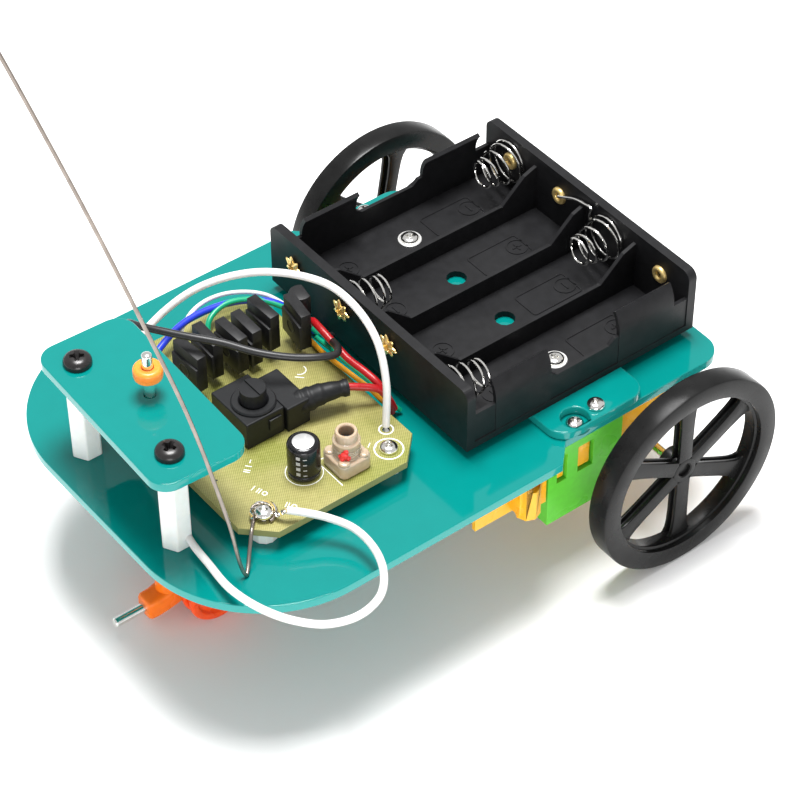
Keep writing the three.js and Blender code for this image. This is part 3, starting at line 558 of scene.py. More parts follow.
def plates():
    covers, standoffs = pair("cover_screw"), pair("standoff")
    others = pair("bridge_screw") + pair("box_screw")
    pin = Box("pivot_pin")
    pin_hole = [circle(pin.cx, pin.cy, PIN_HOLE, 24)]
    b = Box("chassis_plate")
    holes = screw_holes(covers + others + ["board_screw", "antenna_screw"], SMALL_HOLE)
    holes += screw_holes(standoffs, 1.5) + pin_hole
    shape = sheet(chassis_outline(b), holes, b.z0, b.z1, 0.2, 3)
    build("chassis_sheet", shape, "acrylic", "chassis_plate", weighted=True)

    b = Box("bridge_plate")
    holes = screw_holes(covers, 2.9) + screw_holes(others, SMALL_HOLE)
    shape = sheet(rounded(b.x0, b.x1, b.y0, b.y1, PLATE_CORNER), holes, b.z0 + 0.02, b.z1, 0.25, 3)
    build("bridge_sheet", shape, "acrylic", "bridge_plate", weighted=True)

    b = Box("front_plate")
    holes = screw_holes(standoffs, 1.6) + pin_hole
    skew = Matrix.Rotation(radians(FRONT_SKEW), 3, "Z")
    middle = Vector((b.cx, b.cy, 0))
    outline = [tuple((skew @ (Vector((*p, 0)) - middle) + middle).xy)
               for p in rounded(b.x0, b.x1, b.y0, b.y1, PLATE_CORNER)]
    shape = sheet(outline, holes, b.z0, b.z1, 0.25, 3)
    build("front_sheet", shape, "acrylic", "front_plate", weighted=True)
    for n in standoffs:
        dress(n, "nylon", 0.3, 3)


# ---- screws -------------------------------------------------------------------------
BOX_SCREW_HEAD = 0.8  # height of the battery box screws' heads in the CAD


def pan_head(head_r, head_h, shank_r, length):
    """A pan head screw with a cross recess, the underside of its head on height 0."""
    pitch, root, top = 0.5, shank_r * 0.8, head_h + 0.4
    profile = [(0, -length), (shank_r * 0.7, -length), (root, -length + 0.2)]
    z = -length + 0.3
    while z < -pitch:
        profile += [(shank_r, z), (root, z + pitch / 2)]
        z += pitch
    profile += [(shank_r, -0.05), (shank_r, 0), (head_r * 0.95, 0), (head_r, head_h * 0.08)]
    for k in range(10):
        a = radians(9 * k)
        profile.append((head_r * cos(a) ** 0.62, head_h * (0.3 + 0.7 * sin(a))))
    profile.append((0, head_h))
    long, thick = head_r * 0.62, head_r * 0.16
    rings = []
    for z, s, w in ((head_h * 0.25, 0.25, 0.5), (top, 1.0, 1.15)):
        rings.append([(-long * s, -thick * w, z), (long * s, -thick * w, z),
                      (long * s, thick * w, z), (-long * s, thick * w, z)])
    wing = loft(rings)
    cone = lathe([(0, head_h * 0.15), (head_r * 0.2, head_h * 0.4), (head_r * 0.34, top), (0, top)], 16)
    return carved(lathe(profile, 32), wing, wing.turned(90), cone)


def screws():
    def seated(n, screw, turn, seat, finish="bright_steel"):
        b = Box(n)
        build(f"{n}_turned", screw.turned(turn).moved(b.cx, b.cy, seat), finish, n)

    large, small = pan_head(2.75, 2.0, 1.4, 7), pan_head(1.8, 1.25, 0.95, 4.2)
    flat, long = pan_head(1.85, 0.95, 0.95, 4.2), pan_head(1.8, 1.25, 0.95, 6)
    for side, turn in (("left", 25), ("right", 58)):
        seated(f"{side}_front_plate_screw", large, turn, Box("front_plate").z1, "black_steel")
        seated(f"{side}_cover_screw", small, turn + 12, Box("chassis_plate").z1)
        seated(f"{side}_bridge_screw", small, turn + 40, Box("bridge_plate").z1)
        n = f"{side}_box_screw"
        b = Box(n)
        seat = b.z1 - BOX_SCREW_HEAD
        face = seat + 1.0
        washer = [(1.05, seat), (2.35, seat)]
        washer += lifted(face, (2.35, -0.2), (2.45, -0.16), (2.5, -0.08), (2.4, 0), (2.1, 0),
                         (2.0, -0.1), (1.05, -0.1))
        build(f"{n}_washer", lathe(washer, 40, closed=True).on(b), "washer_steel")
        seated(n, flat, turn, face - 0.1)
    for n, turn in (("board_screw", 20), ("antenna_screw", 50)):
        seated(n, long, turn, Box(n).z1 - 1.2)


# ---- shafts and caster --------------------------------------------------------------
def shaft(r, a, b):
    e = 0.25
    return lathe([(0, a), (r - e, a), (r, a + e), (r, b - e), (r - e, b), (0, b)], 32)


def build_shaft(node, a, b, axis):
    """A polished 2 mm shaft from a to b along its axis."""
    box = Box(node)
    place = (0, box.cy, box.cz) if axis == "x" else (box.cx, 0, box.cz)
    build(f"{node}_turned", shaft(1, a, b).along(axis).moved(*place), "bright_steel", node)


def caster_arm():
    """One moulding: a rounded nose on the steering rod, an axle hub and a neck round the pin."""
    rod, axle, pin, arm = Box("arm_rod"), Box("caster_axle"), Box("pivot_pin"), Box("caster_arm")
    half, nose = arm.x1, arm.y0

    def section(y, cz, w, h, power):
        """A ring across the beam, squarer as power falls."""
        ring = []
        for k in range(32):
            a = 2 * pi * k / 32
            u, v = cos(a), sin(a)
            ring.append((w * copysign(abs(u) ** power, u), y,
                         cz + h * copysign(abs(v) ** power, v)))
        return ring

    beam = loft([
        section(nose + 0.02, rod.cz, 1.75, 1.75, 0.5),
        section(nose + 0.12, rod.cz, 2.05, 2.05, 0.42),
        section(nose + 0.5, rod.cz, 2.28, 2.28, 0.36),
        section(nose + 2.4, rod.cz, 2.34, 2.34, 0.36),
        section(pin.cy - 1, rod.cz + 0.5, 2.5, 2.5, 0.42),
        section(pin.cy + 2, (rod.cz + axle.cz) / 2, half, 2.6, 0.5),
        section(axle.cy - 2.5, axle.cz, half, 2.5, 0.55),
        section(axle.cy, axle.cz, half, 2.4, 0.6)])
    hub_r, e = 2.8, 0.5
    hub = [(1.1, -half + 0.2), (1.35, -half)]
    hub += [(x + hub_r - e, z - half + e) for x, z in arc(0, 0, e, -90, 0, 4)]
    hub += [(x + hub_r - e, z + half - e) for x, z in arc(0, 0, e, 0, 90, 4)]
    hub += [(1.35, half), (1.1, half - 0.2)]
    hub = lathe(hub, 48, closed=True).along("x").moved(0, axle.cy, axle.cz)
    neck = lifted(axle.cz, (0, 0), (2.5, 0.4), (2.25, 3), (2.1, 6))
    neck += lifted(arm.z1, (2.1, -0.5), (1.95, -0.1), (1.7, 0), (0, 0))
    return total([beam, hub, lathe(neck, 40).on(pin)])


def caster():
    b = Box("pivot_pin")
    r = (b.x1 - b.x0) / 2
    dome = [(r * cos(a), b.z1 - 0.5 + 0.5 * sin(a)) for a in map(radians, range(0, 90, 15))]
    pin = lathe([(0, b.z0), (r - 0.2, b.z0), (r, b.z0 + 0.2)] + dome + [(0, b.z1)], 32)
    build("pivot_pin_turned", pin.on(b), "bright_steel", "pivot_pin")
    b = Box("pivot_collar")
    r, e = (b.x1 - b.x0) / 2, 0.8
    collar = lifted(b.z0, (1.1, 0), (r - 0.4, 0), (r - 0.1, 0.2), (r, 0.6))
    collar += [(x, z + b.z1 - e) for x, z in arc(r - e, 0, e, 0, 90, 6)]
    collar += lifted(b.z1, (1.5, 0), (1.2, -0.15), (1.1, -0.5))
    collar = lathe(collar, 48, closed=True).moved(b.cx, b.cy, 0.5)
    build("pivot_collar_moulded", collar, "golden", "pivot_collar")
    build_shaft("arm_rod", Box("arm_rod").y0, Box("arm_rod").y1, "y")
    build_shaft("caster_axle", Box("caster_axle").x0, Box("caster_axle").x1, "x")
    build("caster_arm_moulded", caster_arm(), "orange", "caster_arm", sharp=50)

    b = Box("left_caster_wheel")
    r, thick = (b.z1 - b.z0) / 2, 1.4

    def rim(x0, x1):
        """The rounded edge of one of the wheel's two discs."""
        e = (x1 - x0) * 0.36
        low = [(x + r - e, z + x0 + e) for x, z in arc(0, 0, e, -90, 0, 4)]
        return low + [(x + r - e, z + (x1 - e)) for x, z in arc(0, 0, e, 0, 90, 4)]

    profile = [(1.15, b.x0)] + rim(b.x0, b.x0 + thick)
    profile += lifted(b.x0, (r - 1.7, thick), (r - 1.9, 1.6))
    profile += lifted(b.x1, (r - 1.9, -1.6), (r - 1.7, -thick)) + rim(b.x1 - thick, b.x1)
    profile += lifted(b.x1, (r - 1.4, -0.1), (r - 1.8, -0.8), (2.5, -0.8), (2.3, 0), (1.15, 0))
    wheel = lathe(profile, 64, closed=True).along("x").moved(0, b.cy, b.cz)
    build_pair("caster_wheel_moulded", wheel, "red_orange", "caster_wheel")


# ---- drive wheels -------------------------------------------------------------------
SPOKE_DEPTH = 2.1        # how far the spoke faces lie inside the rim
RIGHT_WHEEL_TURN = -10   # degrees between the two wheels at rest
AXLE_SHORT = 1.7         # how much each axle's outer end is cut back inside the hub
# stations along a spoke: the distance from the axle and the share of its plain width
SPOKE_STATIONS = ((2.0, 1.2), (3.2, 1.04), (5, 1.0), (12, 1.05), (15, 1.16), (16.6, 1.38), (17.5, 1.75))


def spoke(front, back, reach_end):
    """A spoke with a web between a wide face and a narrower foot."""
    rings = []
    for reach, wide in SPOKE_STATIONS + ((reach_end, 2.3),):
        f, w, s = 1.62 * wide, 0.6 * wide, 1.35 * wide
        half = [(back, -s), (back + 0.6, -s), (back + 0.8, -w), (front - 1.0, -w), (front - 0.8, -f),
                (front, -f)]
        rings.append([(x, reach, z) for x, z in half] + [(x, reach, -z) for x, z in reversed(half)])
    return bevelled(loft(rings), 0.16, 2, 50)


def drive_wheel():
    b = Box("left_wheel")
    r, inner, width = (b.z1 - b.z0) / 2, 18.1, 5
    a, c = b.x1 - width, b.x1
    rim = [(inner, a + 0.3), (inner + 0.3, a), (r - 0.5, a), (r - 0.15, a + 0.15), (r, a + 0.5),
           (r, c - 0.5), (r - 0.15, c - 0.15), (r - 0.5, c), (inner + 0.35, c), (inner + 0.08, c - 0.1),
           (inner, c - 0.35), (inner, a + 3.9), (inner - 0.5, a + 3.7), (inner - 0.6, a + 3.4),
           (inner - 0.45, a + 0.9), (inner, a + 0.7)]
    rim = lathe(rim, 128, closed=True).along("x")
    front, back = c - SPOKE_DEPTH, a + 0.3
    arm = spoke(front, back, inner + 0.2)
    hub_r, low, high = 2.9, b.x0, front + 0.08
    hub = [(0, low), (hub_r - 0.3, low), (hub_r, low + 0.3)]
    hub += lifted(high, (hub_r, -0.3), (hub_r - 0.12, -0.08), (hub_r - 0.35, 0), (1.75, 0), (1.5, -0.2),
                  (1.4, -0.75), (0, -0.75))
    left = total([rim, lathe(hub, 48).along("x")] + [arm.turned(30 + 60 * k, "X") for k in range(6)])
    build("left_wheel_moulded", left.moved(0, b.cy, b.cz), "wheel_black", "left_wheel")
    right = left.placed(MIRROR).turned(RIGHT_WHEEL_TURN, "X").moved(0, b.cy, b.cz)
    build("right_wheel_moulded", right, "wheel_black", "right_wheel")
    build_shaft("left_axle", Box("left_axle").x0, Box("left_axle").x1 - AXLE_SHORT, "x")
    build_shaft("right_axle", Box("right_axle").x0 + AXLE_SHORT, Box("right_axle").x1, "x")


# ---- drive train --------------------------------------------------------------------
# finish, broken edge and its segments for the CAD nodes of the drive train
DRIVE_TRAIN = {
    "output_gear": ("amber", 0.06, 1), "crown_gear": ("peach", 0.06, 1), "motor_pinion": ("steel", 0.05, 1),
    "motor": ("motor_can", 0.5, 3), "gear_frame": ("amber", 0.2, 2), "gear_cover": ("green", 0.4, 3)}
COVER_TABS = ((-18.1, -15.0), (-23.4, -21.5))  # front and rear of the tab in each window of the cover
BOSS_X, BOSS_Y = 37.2, -30  # the gear case's screw boss


def drive_train():
    for kind, finish in DRIVE_TRAIN.items():
        for n in pair(kind):
            dress(n, *finish)
    face = Box("left_gear_cover").x1
    for k, (y0, y1) in enumerate(COVER_TABS):
        tab = block(face - 1.5, face - 0.5, y0, y1, -8.7, -2.6, 0.4, 3)
        build_pair(f"frame_tab_{k + 1}", tab, "amber")
    crest, root, pitch = 0.95, 0.8, 0.6
    profile = [(0, -6.4), (0.7, -6.4)]
    for k in range(6):
        profile += [(crest, -6.0 + pitch * k), (root, -5.7 + pitch * k)]
    profile += [(crest, -2.3), (0, -2.3)]
    build_pair("frame_screw", lathe(profile, 20).moved(BOSS_X, BOSS_Y, 0), "steel")


# ---- battery box --------------------------------------------------------------------
BOX_WALL = 2
FLOOR_OVER_SEAT = 0.9  # height of the bay floor over the seats of the screws


def bar(cx, cy, length, width, z, height, turn=0.0):
    piece = block(-length / 2, length / 2, -width / 2, width / 2, z, z + height, 0.05, 1)
    return piece.turned(turn).moved(cx, cy)


def cell_marks(x, floor, y0, y1, plus_at_rear):
    """Raised marks on a bay floor: the outline of a cell and a plus and a minus in rings."""
    low, high, middle = floor - 0.05, floor + 0.16, (y0 + y1) / 2
    outer = rounded(x - 3.4, x + 3.4, middle + 5, y1 - 9, 0.8)
    inner = rounded(x - 3.1, x + 3.1, middle + 5.3, y1 - 9.3, 0.6)
    out = [sheet(outer, [inner], low, high, 0.04, 1)]
    for side, plus in ((1, plus_at_rear), (-1, not plus_at_rear)):
        cy = middle + side * 15.5
        out.append(disc(2.3, low, high, 40, hole=2.0).moved(x, cy))
        out += [bar(x, cy, 2.2, 0.4, low, 0.21, turn) for turn in ((0, 90) if plus else (0,))]
    return out


def contact_spring(node, wall_y, side):
    """A conical spring with a closed coil at both ends, growing from its wall."""
    b = Box(node)
    big, small, wire, length = 4.6, 2.9, 0.27, 7.0
    points = []
    per_turn, turns = 24, 4.4
    for k in range(int(per_turn * turns) + 1):
        t = k / per_turn
        body = min(max((t - 0.8) / (turns - 1.5), 0), 1)
        r = big + (small - big) * body
        reach = 0.4 + 0.2 * min(t, 0.8) + length * body + 0.5 * max(t - turns + 0.7, 0)
        a = 2 * pi * t
        points.append((b.cx + r * cos(a), wall_y + side * reach, b.cz + r * sin(a)))
    build(f"{node}_coiled", tube(points, wire, 10, 0), "bright_steel", node)


def eyelet(r, hole, proud):
    """A rolled brass rivet head, drawn with its flange on height 0."""
    middle, half = (r + hole) / 2, (r - hole) / 2
    lip = [(middle - half * cos(a), proud * sin(a) ** 0.7)
           for a in map(radians, range(0, 181, 15))]
    return lathe([(0, -0.25), (hole, -0.25)] + lip + [(r, -0.3), (0, -0.3)], 36)


def battery_box():
    dress("battery_box", "black", 0.22, 2)
    b = Box("battery_box")
    floor = Box("left_box_screw").z1 - BOX_SCREW_HEAD + FLOOR_OVER_SEAT
    rear, front = b.y1 - BOX_WALL, b.y0 + BOX_WALL
    springs = [Box(f"battery_spring_{i}") for i in range(1, 5)]
    marks = []
    for i, s in enumerate(springs):
        at_rear = i % 2 == 0
        contact_spring(f"battery_spring_{i + 1}", rear if at_rear else front, -1 if at_rear else 1)
        marks += cell_marks(s.cx, floor, front, rear, not at_rear)
    build("bay_marks", total(marks), "black")
    rivet = eyelet(1.9, 0.62, 0.8)
    # the splayed tail of a rivet on the outside of the front wall
    tail = lathe([(0, 0.1), (0.65, 0.2), (0.95, 0.95), (1.9, 0.6), (2.0, 0.4), (1.1, 0), (0, 0)], 84,
                 wave=lambda a: 1 + 0.26 * cos(7 * a) + 0.08 * sin(3 * a + 1))
    for name, shape, turn, y, places in (
            ("rear_rivet", rivet, 90, rear, ((1, 13.5), (3, 13.4), (0, 12.6))),
            ("front_rivet", rivet, -90, front, ((0, 13.1), (2, 14.3))),
            ("rivet_tail", tail, 90, b.y0, ((0, 13.1), (1, 12.7), (2, 14.3)))):
        for k, (i, z) in enumerate(places):
            build(f"{name}_{k + 1}", shape.turned(turn, "X").moved(springs[i].cx, y, z), "brass")
    # the bridging wire from the second bay's rivet to the third bay's spring
    a, c = springs[1].cx, springs[2].cx
    link = [(a + 0.6, -0.9, 14.1), (a + 2.4, -0.7, 14.9), (a + 5.4, -0.6, 16.3), (a + 8.2, -0.6, 16.9),
            (a + 10.4, -0.8, 17.3), (c - 4.9, -0.9, 15.6), (c - 4.6, -0.8, 13.8)]
    build("link_wire", tube([(x, rear + y, z) for x, y, z in link], 0.34, 10), "bright_steel")


# ---- receiver board -----------------------------------------------------------------
INK = 0.03  # thickness of the board's print
# groups of plain printed marks: x, y, turn, and a bar |, a double bar =, a dash - or a ring o each
PRINTED_GROUPS = ((14.6, -56.8, -60, "o|="), (17.6, -78.6, 20, "|=o"), (24.3, -76.2, 35, "=o"),
                  (11.2, -76.4, -50, "-|="), (21.6, -54.6, 35, "||-"), (4.9, -81.3, 10, "=="))
PRINTED_ARCS = ((-6.2, -71.8, 0), (-6.8, -66.2, 20), (-5.6, -60.2, -10), (-4.2, -53.4, 15))
VIAS = ((8.2, -80.6), (6.0, -83.6), (2.4, -84.2), (10.6, -83.2))


def ring(cx, cy, r, line, z):
    return sheet(circle(cx, cy, r + line / 2), [circle(cx, cy, r - line / 2)], z, z + INK, 0.005, 1)


def stroke(points, width, z):
    """A flat printed line through the points."""
    left, right = [], []
    pts = [Vector(p) for p in points]
    for i, p in enumerate(pts):
        d = (pts[min(i + 1, len(pts) - 1)] - pts[max(i - 1, 0)]).normalized()
        side = Vector((-d.y, d.x)) * width / 2
        left.append(tuple(p + side))
        right.append(tuple(p - side))
    return sheet(right + left[::-1], [], z, z + INK, 0.004, 1)


def board_print(top, pad):
    s, cap, coil = Box("board_screw"), Box("capacitor"), Box("coil")
    ink = [ring(s.cx, s.cy, 2.75, 0.28, top), ring(*pad, 1.35, 0.3, top),
           ring(cap.cx, cap.cy, 3.55, 0.18, top)]
    x0, x1, y0, y1 = coil.x0 - 0.5, coil.x1 + 0.5, coil.y0 - 0.5, coil.y1 + 0.5
    ink.append(stroke([(x0, y1), (x0, y0), (x1, y0)], 0.22, top))
    lines = {"|": [bar(0, 0, 0.2, 1.3, top, INK)], "-": [bar(0, 0, 0.9, 0.2, top, INK)],
             "=": [bar(0, 0, 0.2, 1.3, top, INK).moved(x) for x in (-0.25, 0.25)]}
    for cx, cy, turn, kinds in PRINTED_GROUPS:
        for k, kind in enumerate(kinds):
            u = (k - (len(kinds) - 1) / 2) * 1.3
            px, py = cx + u * cos(radians(turn)), cy + u * sin(radians(turn))
            if kind == "o":
                ink.append(ring(px, py, 0.45, 0.2, top))
            else:
                ink += [line.turned(turn).moved(px, py) for line in lines[kind]]
    for x, y, turn in PRINTED_ARCS:
        curl = [(px + x, py + y) for px, py in arc(0, 0, 1.3, turn - 70, turn + 90, 10)]
        ink.append(stroke(curl, 0.22, top))
        ink.append(bar(x + 1.7, y - 1.2, 1.8, 0.22, top, INK, turn + 30))
    return total(ink)


def board():
    b = Box("circuit_board")
    top, c = b.z1, 5.4
    outline = [(b.x0 + c, b.y0), (b.x1 - c, b.y0), (b.x1, b.y0 + c), (b.x1, b.y1 - c), (b.x1 - c, b.y1),
               (b.x0 + c, b.y1), (b.x0, b.y1 - c), (b.x0, b.y0 + c)]
    holes = screw_holes(["board_screw", "antenna_screw"], SMALL_HOLE)
    laminate = sheet(outline, holes, b.z0, top, 0.08, 2)
    build("board_laminate", laminate, "board", "circuit_board", weighted=True)
    for n in ("board_spacer", "antenna_spacer"):
        dress(n, "nylon", 0.15)
    x, y = AERIAL_LEAD[0][:2]
    build("board_print", board_print(top, (x, y)), "ink")
    r = 0.85
    drop = lifted(top, (0, -0.02), (r, -0.02), (r * 0.75, r * 0.35), (r * 0.35, r * 0.75), (0, r * 0.8))
    build("solder_joint", lathe(drop, 16).moved(x, y), "solder")
    via = disc(0.22, top, top + 0.02, 12)
    build("board_vias", total([via.moved(*place) for place in VIAS]), "wire_black")
    bare = [(x, y, top + 0.2), (x, y, top + 0.8), (x - 0.1, y + 0.1, top + 1.6)]
    build("pad_wire", tube(bare, 0.28, 10), "antenna_wire")


def switch():
    b, k = Box("switch_body"), Box("switch_button")
    step, base, side = -65.3, b.z0, 7.7  # the case steps to the left behind y = step
    deck, top, well_r = base + 6.2, b.z1, 2.65
    main = block(b.x0, side, b.y0, step - 0.08, base, deck, 0.3, 3)
    tail = block(b.x0 + 1.9, b.x1, step + 0.08, b.y1, base, deck - 0.3, 0.3, 3)
    web = block(b.x0 + 2.4, side - 0.5, step - 1, step + 1, base + 0.3, deck - 0.6, 0.1, 1)
    collar = [(well_r, deck - 1), (4.35, deck - 1)]
    collar += lifted(top, (4.35, -0.25), (4.1, 0), (2.95, 0), (well_r, -0.25))
    collar = lathe(collar, 64, closed=True).on(k)
    catch = block(side - 0.3, side + 0.35, -69, -66.2, base + 2.2, base + 4.8, 0.15)
    shell = carved(main, disc(well_r, base + 1.6, top + 1, 48).on(k))
    build("switch_shell", total([shell, tail, web, collar, catch]), "switch_black", "switch_body",
          weighted=True)
    # the button's face is stepped down over its front half
    r, face = (k.x1 - k.x0) / 2, k.z1
    stem = lathe([(0, k.z0), (r, k.z0), (r, face - 0.1), (r - 0.1, face), (0, face)], 56)
    low_half = loft([[(-4, -4, z), (4, -4, z), (4, -0.1, z), (-4, -0.1, z)] for z in (face - 0.35, face + 1)])
    cap = carved(stem, low_half).on(k)
    build("button_cap", cap, "switch_black", "switch_button", sharp=25)


def capacitor():
    b = Box("capacitor")
    r, z0, z1 = (b.x1 - b.x0) / 2, b.z0, b.z1
    sleeve = lifted(z0, (0, 0), (r - 0.55, 0), (r - 0.2, 0.25), (r, 0.6), (r, 1.0), (r - 0.16, 1.25),
                    (r, 1.5))
    sleeve += lifted(z1, (r, -0.75), (r - 0.12, -0.4), (r - 0.4, -0.16), (2.35, 0), (2.15, -0.03),
                     (2.1, -0.2), (0, -0.2))
    build("capacitor_sleeve", lathe(sleeve, 56).on(b), "can_sleeve", "capacitor")
    lid = lathe(lifted(z1, (0, -0.35), (2.1, -0.35), (2.1, -0.1), (1.95, -0.06), (0, -0.06)), 40)
    long, thin = 1.5, 0.07
    grooves = [block(-x, x, -y, y, z1 - 0.16, z1, 0.01, 1) for x, y in ((long, thin), (thin, long))]
    build("capacitor_top", carved(lid, *grooves).turned(35).on(b), "aluminium")
    marks = []
    for k in range(4):
        z = z0 + 1.9 + k * 1.35
        for height, sweep, turn in ((0.75, 14, 0), (0.22, 13, 24)):
            mark = lifted(z, (r, 0), (r + 0.04, 0), (r + 0.04, height), (r, height), (r, 0))
            marks.append(lathe(mark, 4, sweep=sweep).turned(turn))
    build("capacitor_marks", total(marks).turned(-62).on(b), "sleeve_print")


def coil():
    b = Box("coil")
    z0, bore = b.z0, 1.45
    half = (b.x1 - b.x0) / 2
    foot = sheet(rounded(-half, half, -half, half, 1.3), [circle(0, 0, bore, 32)], z0, z0 + 3.15, 0.4, 3)
    lobe = lathe(lifted(z0, (0, 2.2), (1.15, 2.2), (1.15, 3.3), (0.95, 3.6), (0.6, 3.7), (0, 3.7)), 24)
    corners = (-half + 1.3, half - 1.3)
    lobes = [lobe.moved(x, y) for x in corners for y in corners]
    pipe = lifted(z0, (bore, 1), (2.75, 1), (2.75, 3.3), (2.5, 3.5), (2.5, 5.9), (2.65, 6.1), (2.65, 6.5),
                  (2.45, 6.75), (2.2, 6.85))
    pipe += lifted(b.z1, (2.15, -0.25), (2.0, 0), (1.6, 0), (bore, -0.2))
    former = total([foot, lathe(pipe, 48, closed=True)] + lobes)
    build("coil_former", former.on(b), "coil_form", "coil")
    wound = total([lathe(lifted(z0 + z, (2.45, 0), (2.62, 0.02), (2.68, 0.2), (2.62, 0.38), (2.45, 0.4)),
                         48, closed=True) for z in (3.9, 4.35, 4.8)])
    build("coil_turns", wound.on(b), "coil_form")
    drips = []
    for turn, z, r in ((322, 5.6, 0.5), (315, 4.7, 0.75), (306, 3.9, 0.7), (330, 4.0, 0.55), (296, 4.3, 0.4)):
        drop = [(r * cos(a), r * 1.2 * sin(a)) for a in map(radians, range(-72, 90, 18))]
        drop = lathe([(0, -r)] + drop + [(0, r * 1.2)], 16, wave=lambda q: 1 + 0.15 * sin(3 * q + turn))
        a = radians(turn)
        drips.append(drop.moved(2.5 * cos(a), 2.5 * sin(a), z0 + z))
    build("coil_wax", total(drips).on(b), "red_wax")
    slug = lathe(lifted(z0, (0, 3.4), (1.42, 3.4), (1.42, 6.2), (1.2, 6.4), (0, 6.4)), 32)
    build("coil_slug", slug.on(b), "transistor_black")


# height of each transistor over the board, and its turn in radians
TRANSISTOR_STANDS = [(2.3, 0.06), (2.5, -0.04), (2.2, 0.03), (2, -0.03), (3, 0.02), (2.9, -0.16)]
SMALL_TURN, SMALL_X, SMALL_Y = 170, -12.3, -46.9  # the seventh, small transistor


def transistors():
    dimple = lathe([(1.0, -0.12), (1.55, -0.12), (1.55, 0.1), (1.4, 0.16), (1.15, 0.1), (1.0, 0.0)], 32,
                   closed=True).turned(90, "X")
    top = Box("circuit_board").z1
    pins = (-2.3, 0, 2.3)
    for i, (lift, lean) in enumerate(TRANSISTOR_STANDS, 1):
        n, low, turn = f"transistor_{i}", top + lift, degrees(lean)
        b = Box(n)
        body = block(-3.8, 3.8, -1.3, 1.3, low, low + 5.8, 0.12, 2)
        body = body + block(-3.8, 3.8, -0.85, 1.3, low + 0.1, low + 8.4, 0.12, 2)
        case = total([bevelled(body, 0.02, 1, 80), dimple.moved(0, -1.25, low + 3.6)])
        build(f"{n}_case", case.turned(turn).on(b), "transistor_black", n)
        legs = [block(u - 0.3, u + 0.3, -0.2, 0.25, top + 0.02, low + 0.2, 0.05, 1) for u in pins]
        legs += [block(u - 0.5, u + 0.5, -0.25, 0.3, low - 0.9, low + 0.1, 0.08, 1) for u in pins]
        build(f"{n}_legs", total(legs).turned(turn).on(b), "bright_steel")
    small = sheet(arc(0, 0, 2.3, -35, 215, 20), [], top + 6.2, top + 10.9, 0.3, 2)
    legs = total([block(u - 0.22, u + 0.22, -0.2, 0.2, top + 0.02, top + 6.4, 0.04, 1)
                  for u in (-1.27, 0, 1.27)])
    build("small_transistor_case", small.turned(SMALL_TURN).moved(SMALL_X, SMALL_Y), "transistor_black")
    build("small_transistor_legs", legs.turned(SMALL_TURN).moved(SMALL_X, SMALL_Y - 0.4), "bright_steel")


# ---- leads --------------------------------------------------------------------------
LEAD_R = 0.75
# points of each lead: x and y in the car's frame, z from the top of the board
AERIAL_LEAD = [
    (19.1, -50.2, 0.9), (17.4, -48.8, 10.4), (13.2, -47.8, 17.4), (4.6, -46.9, 19.8), (-4.4, -47.8, 19.6),
    (-14.8, -54.7, 18.4), (-22, -63.8, 14.4), (-24.8, -73, 8.4), (-22.4, -81, 4.9), (-14, -86.4, 2.8),
    (-4.5, -88.4, 1.6), (5, -90.9, 0.4), (12.4, -93.2, -1.4), (18.2, -94.6, -2.3), (24.9, -95.2, -2.5),
    (32.9, -96, -1.8), (41, -94.8, -1), (47.5, -92.2, -0.2), (51.6, -88.2, -0.2), (53.4, -82.6, -0.2),
    (52, -76.8, -0.2), (47.5, -72.6, -0.2), (41.9, -70.6, 0), (36.2, -70.8, 0.4), (31.8, -73.4, 1.2),
    (28.9, -76.6, 2.2), (27, -79, 2.8)]
BATTERY_LEAD = [
    (-26, -78.5, 0.9), (-26, -78.3, 7), (-24.6, -78.6, 11.6), (-20.7, -78.2, 13.4), (-12.9, -73.3, 13.8),
    (-7.3, -68.6, 13.4), (-1.9, -64.3, 12.4), (2.5, -59.1, 11.4), (5, -54.6, 10.8), (5.2, -51.6, 9.8),
    (2.6, -49, 8.2), (-1.6, -47.4, 6.2), (-5, -45.8, 3.6), (-7.2, -43.4, 1.2)]
SWITCH_LEAD = [
    (6.6, -59.6, 4.4), (8, -56, 4.9), (9.3, -52.4, 4.9), (10.7, -49.8, 4.5), (12.4, -47, 3.6),
    (13.2, -45.6, 1.6), (13.3, -44.8, -1), (13.2, -44.4, -3.4)]
ANTENNA_TAIL = [
    (24.2, -84.7, 0.45), (25.4, -85.8, 0.4), (27.6, -88, -2.2), (29.5, -89.8, -3.8), (30.2, -90.6, -4.1),
    (29.9, -91.3, -2.2), (28.5, -92.4, 8.3), (24.4, -96.5, 33.9), (20.2, -100.7, 53.1), (14.6, -106.3, 77.2),
    (6.4, -114.5, 109.2), (4.6, -116.3, 115.4)]
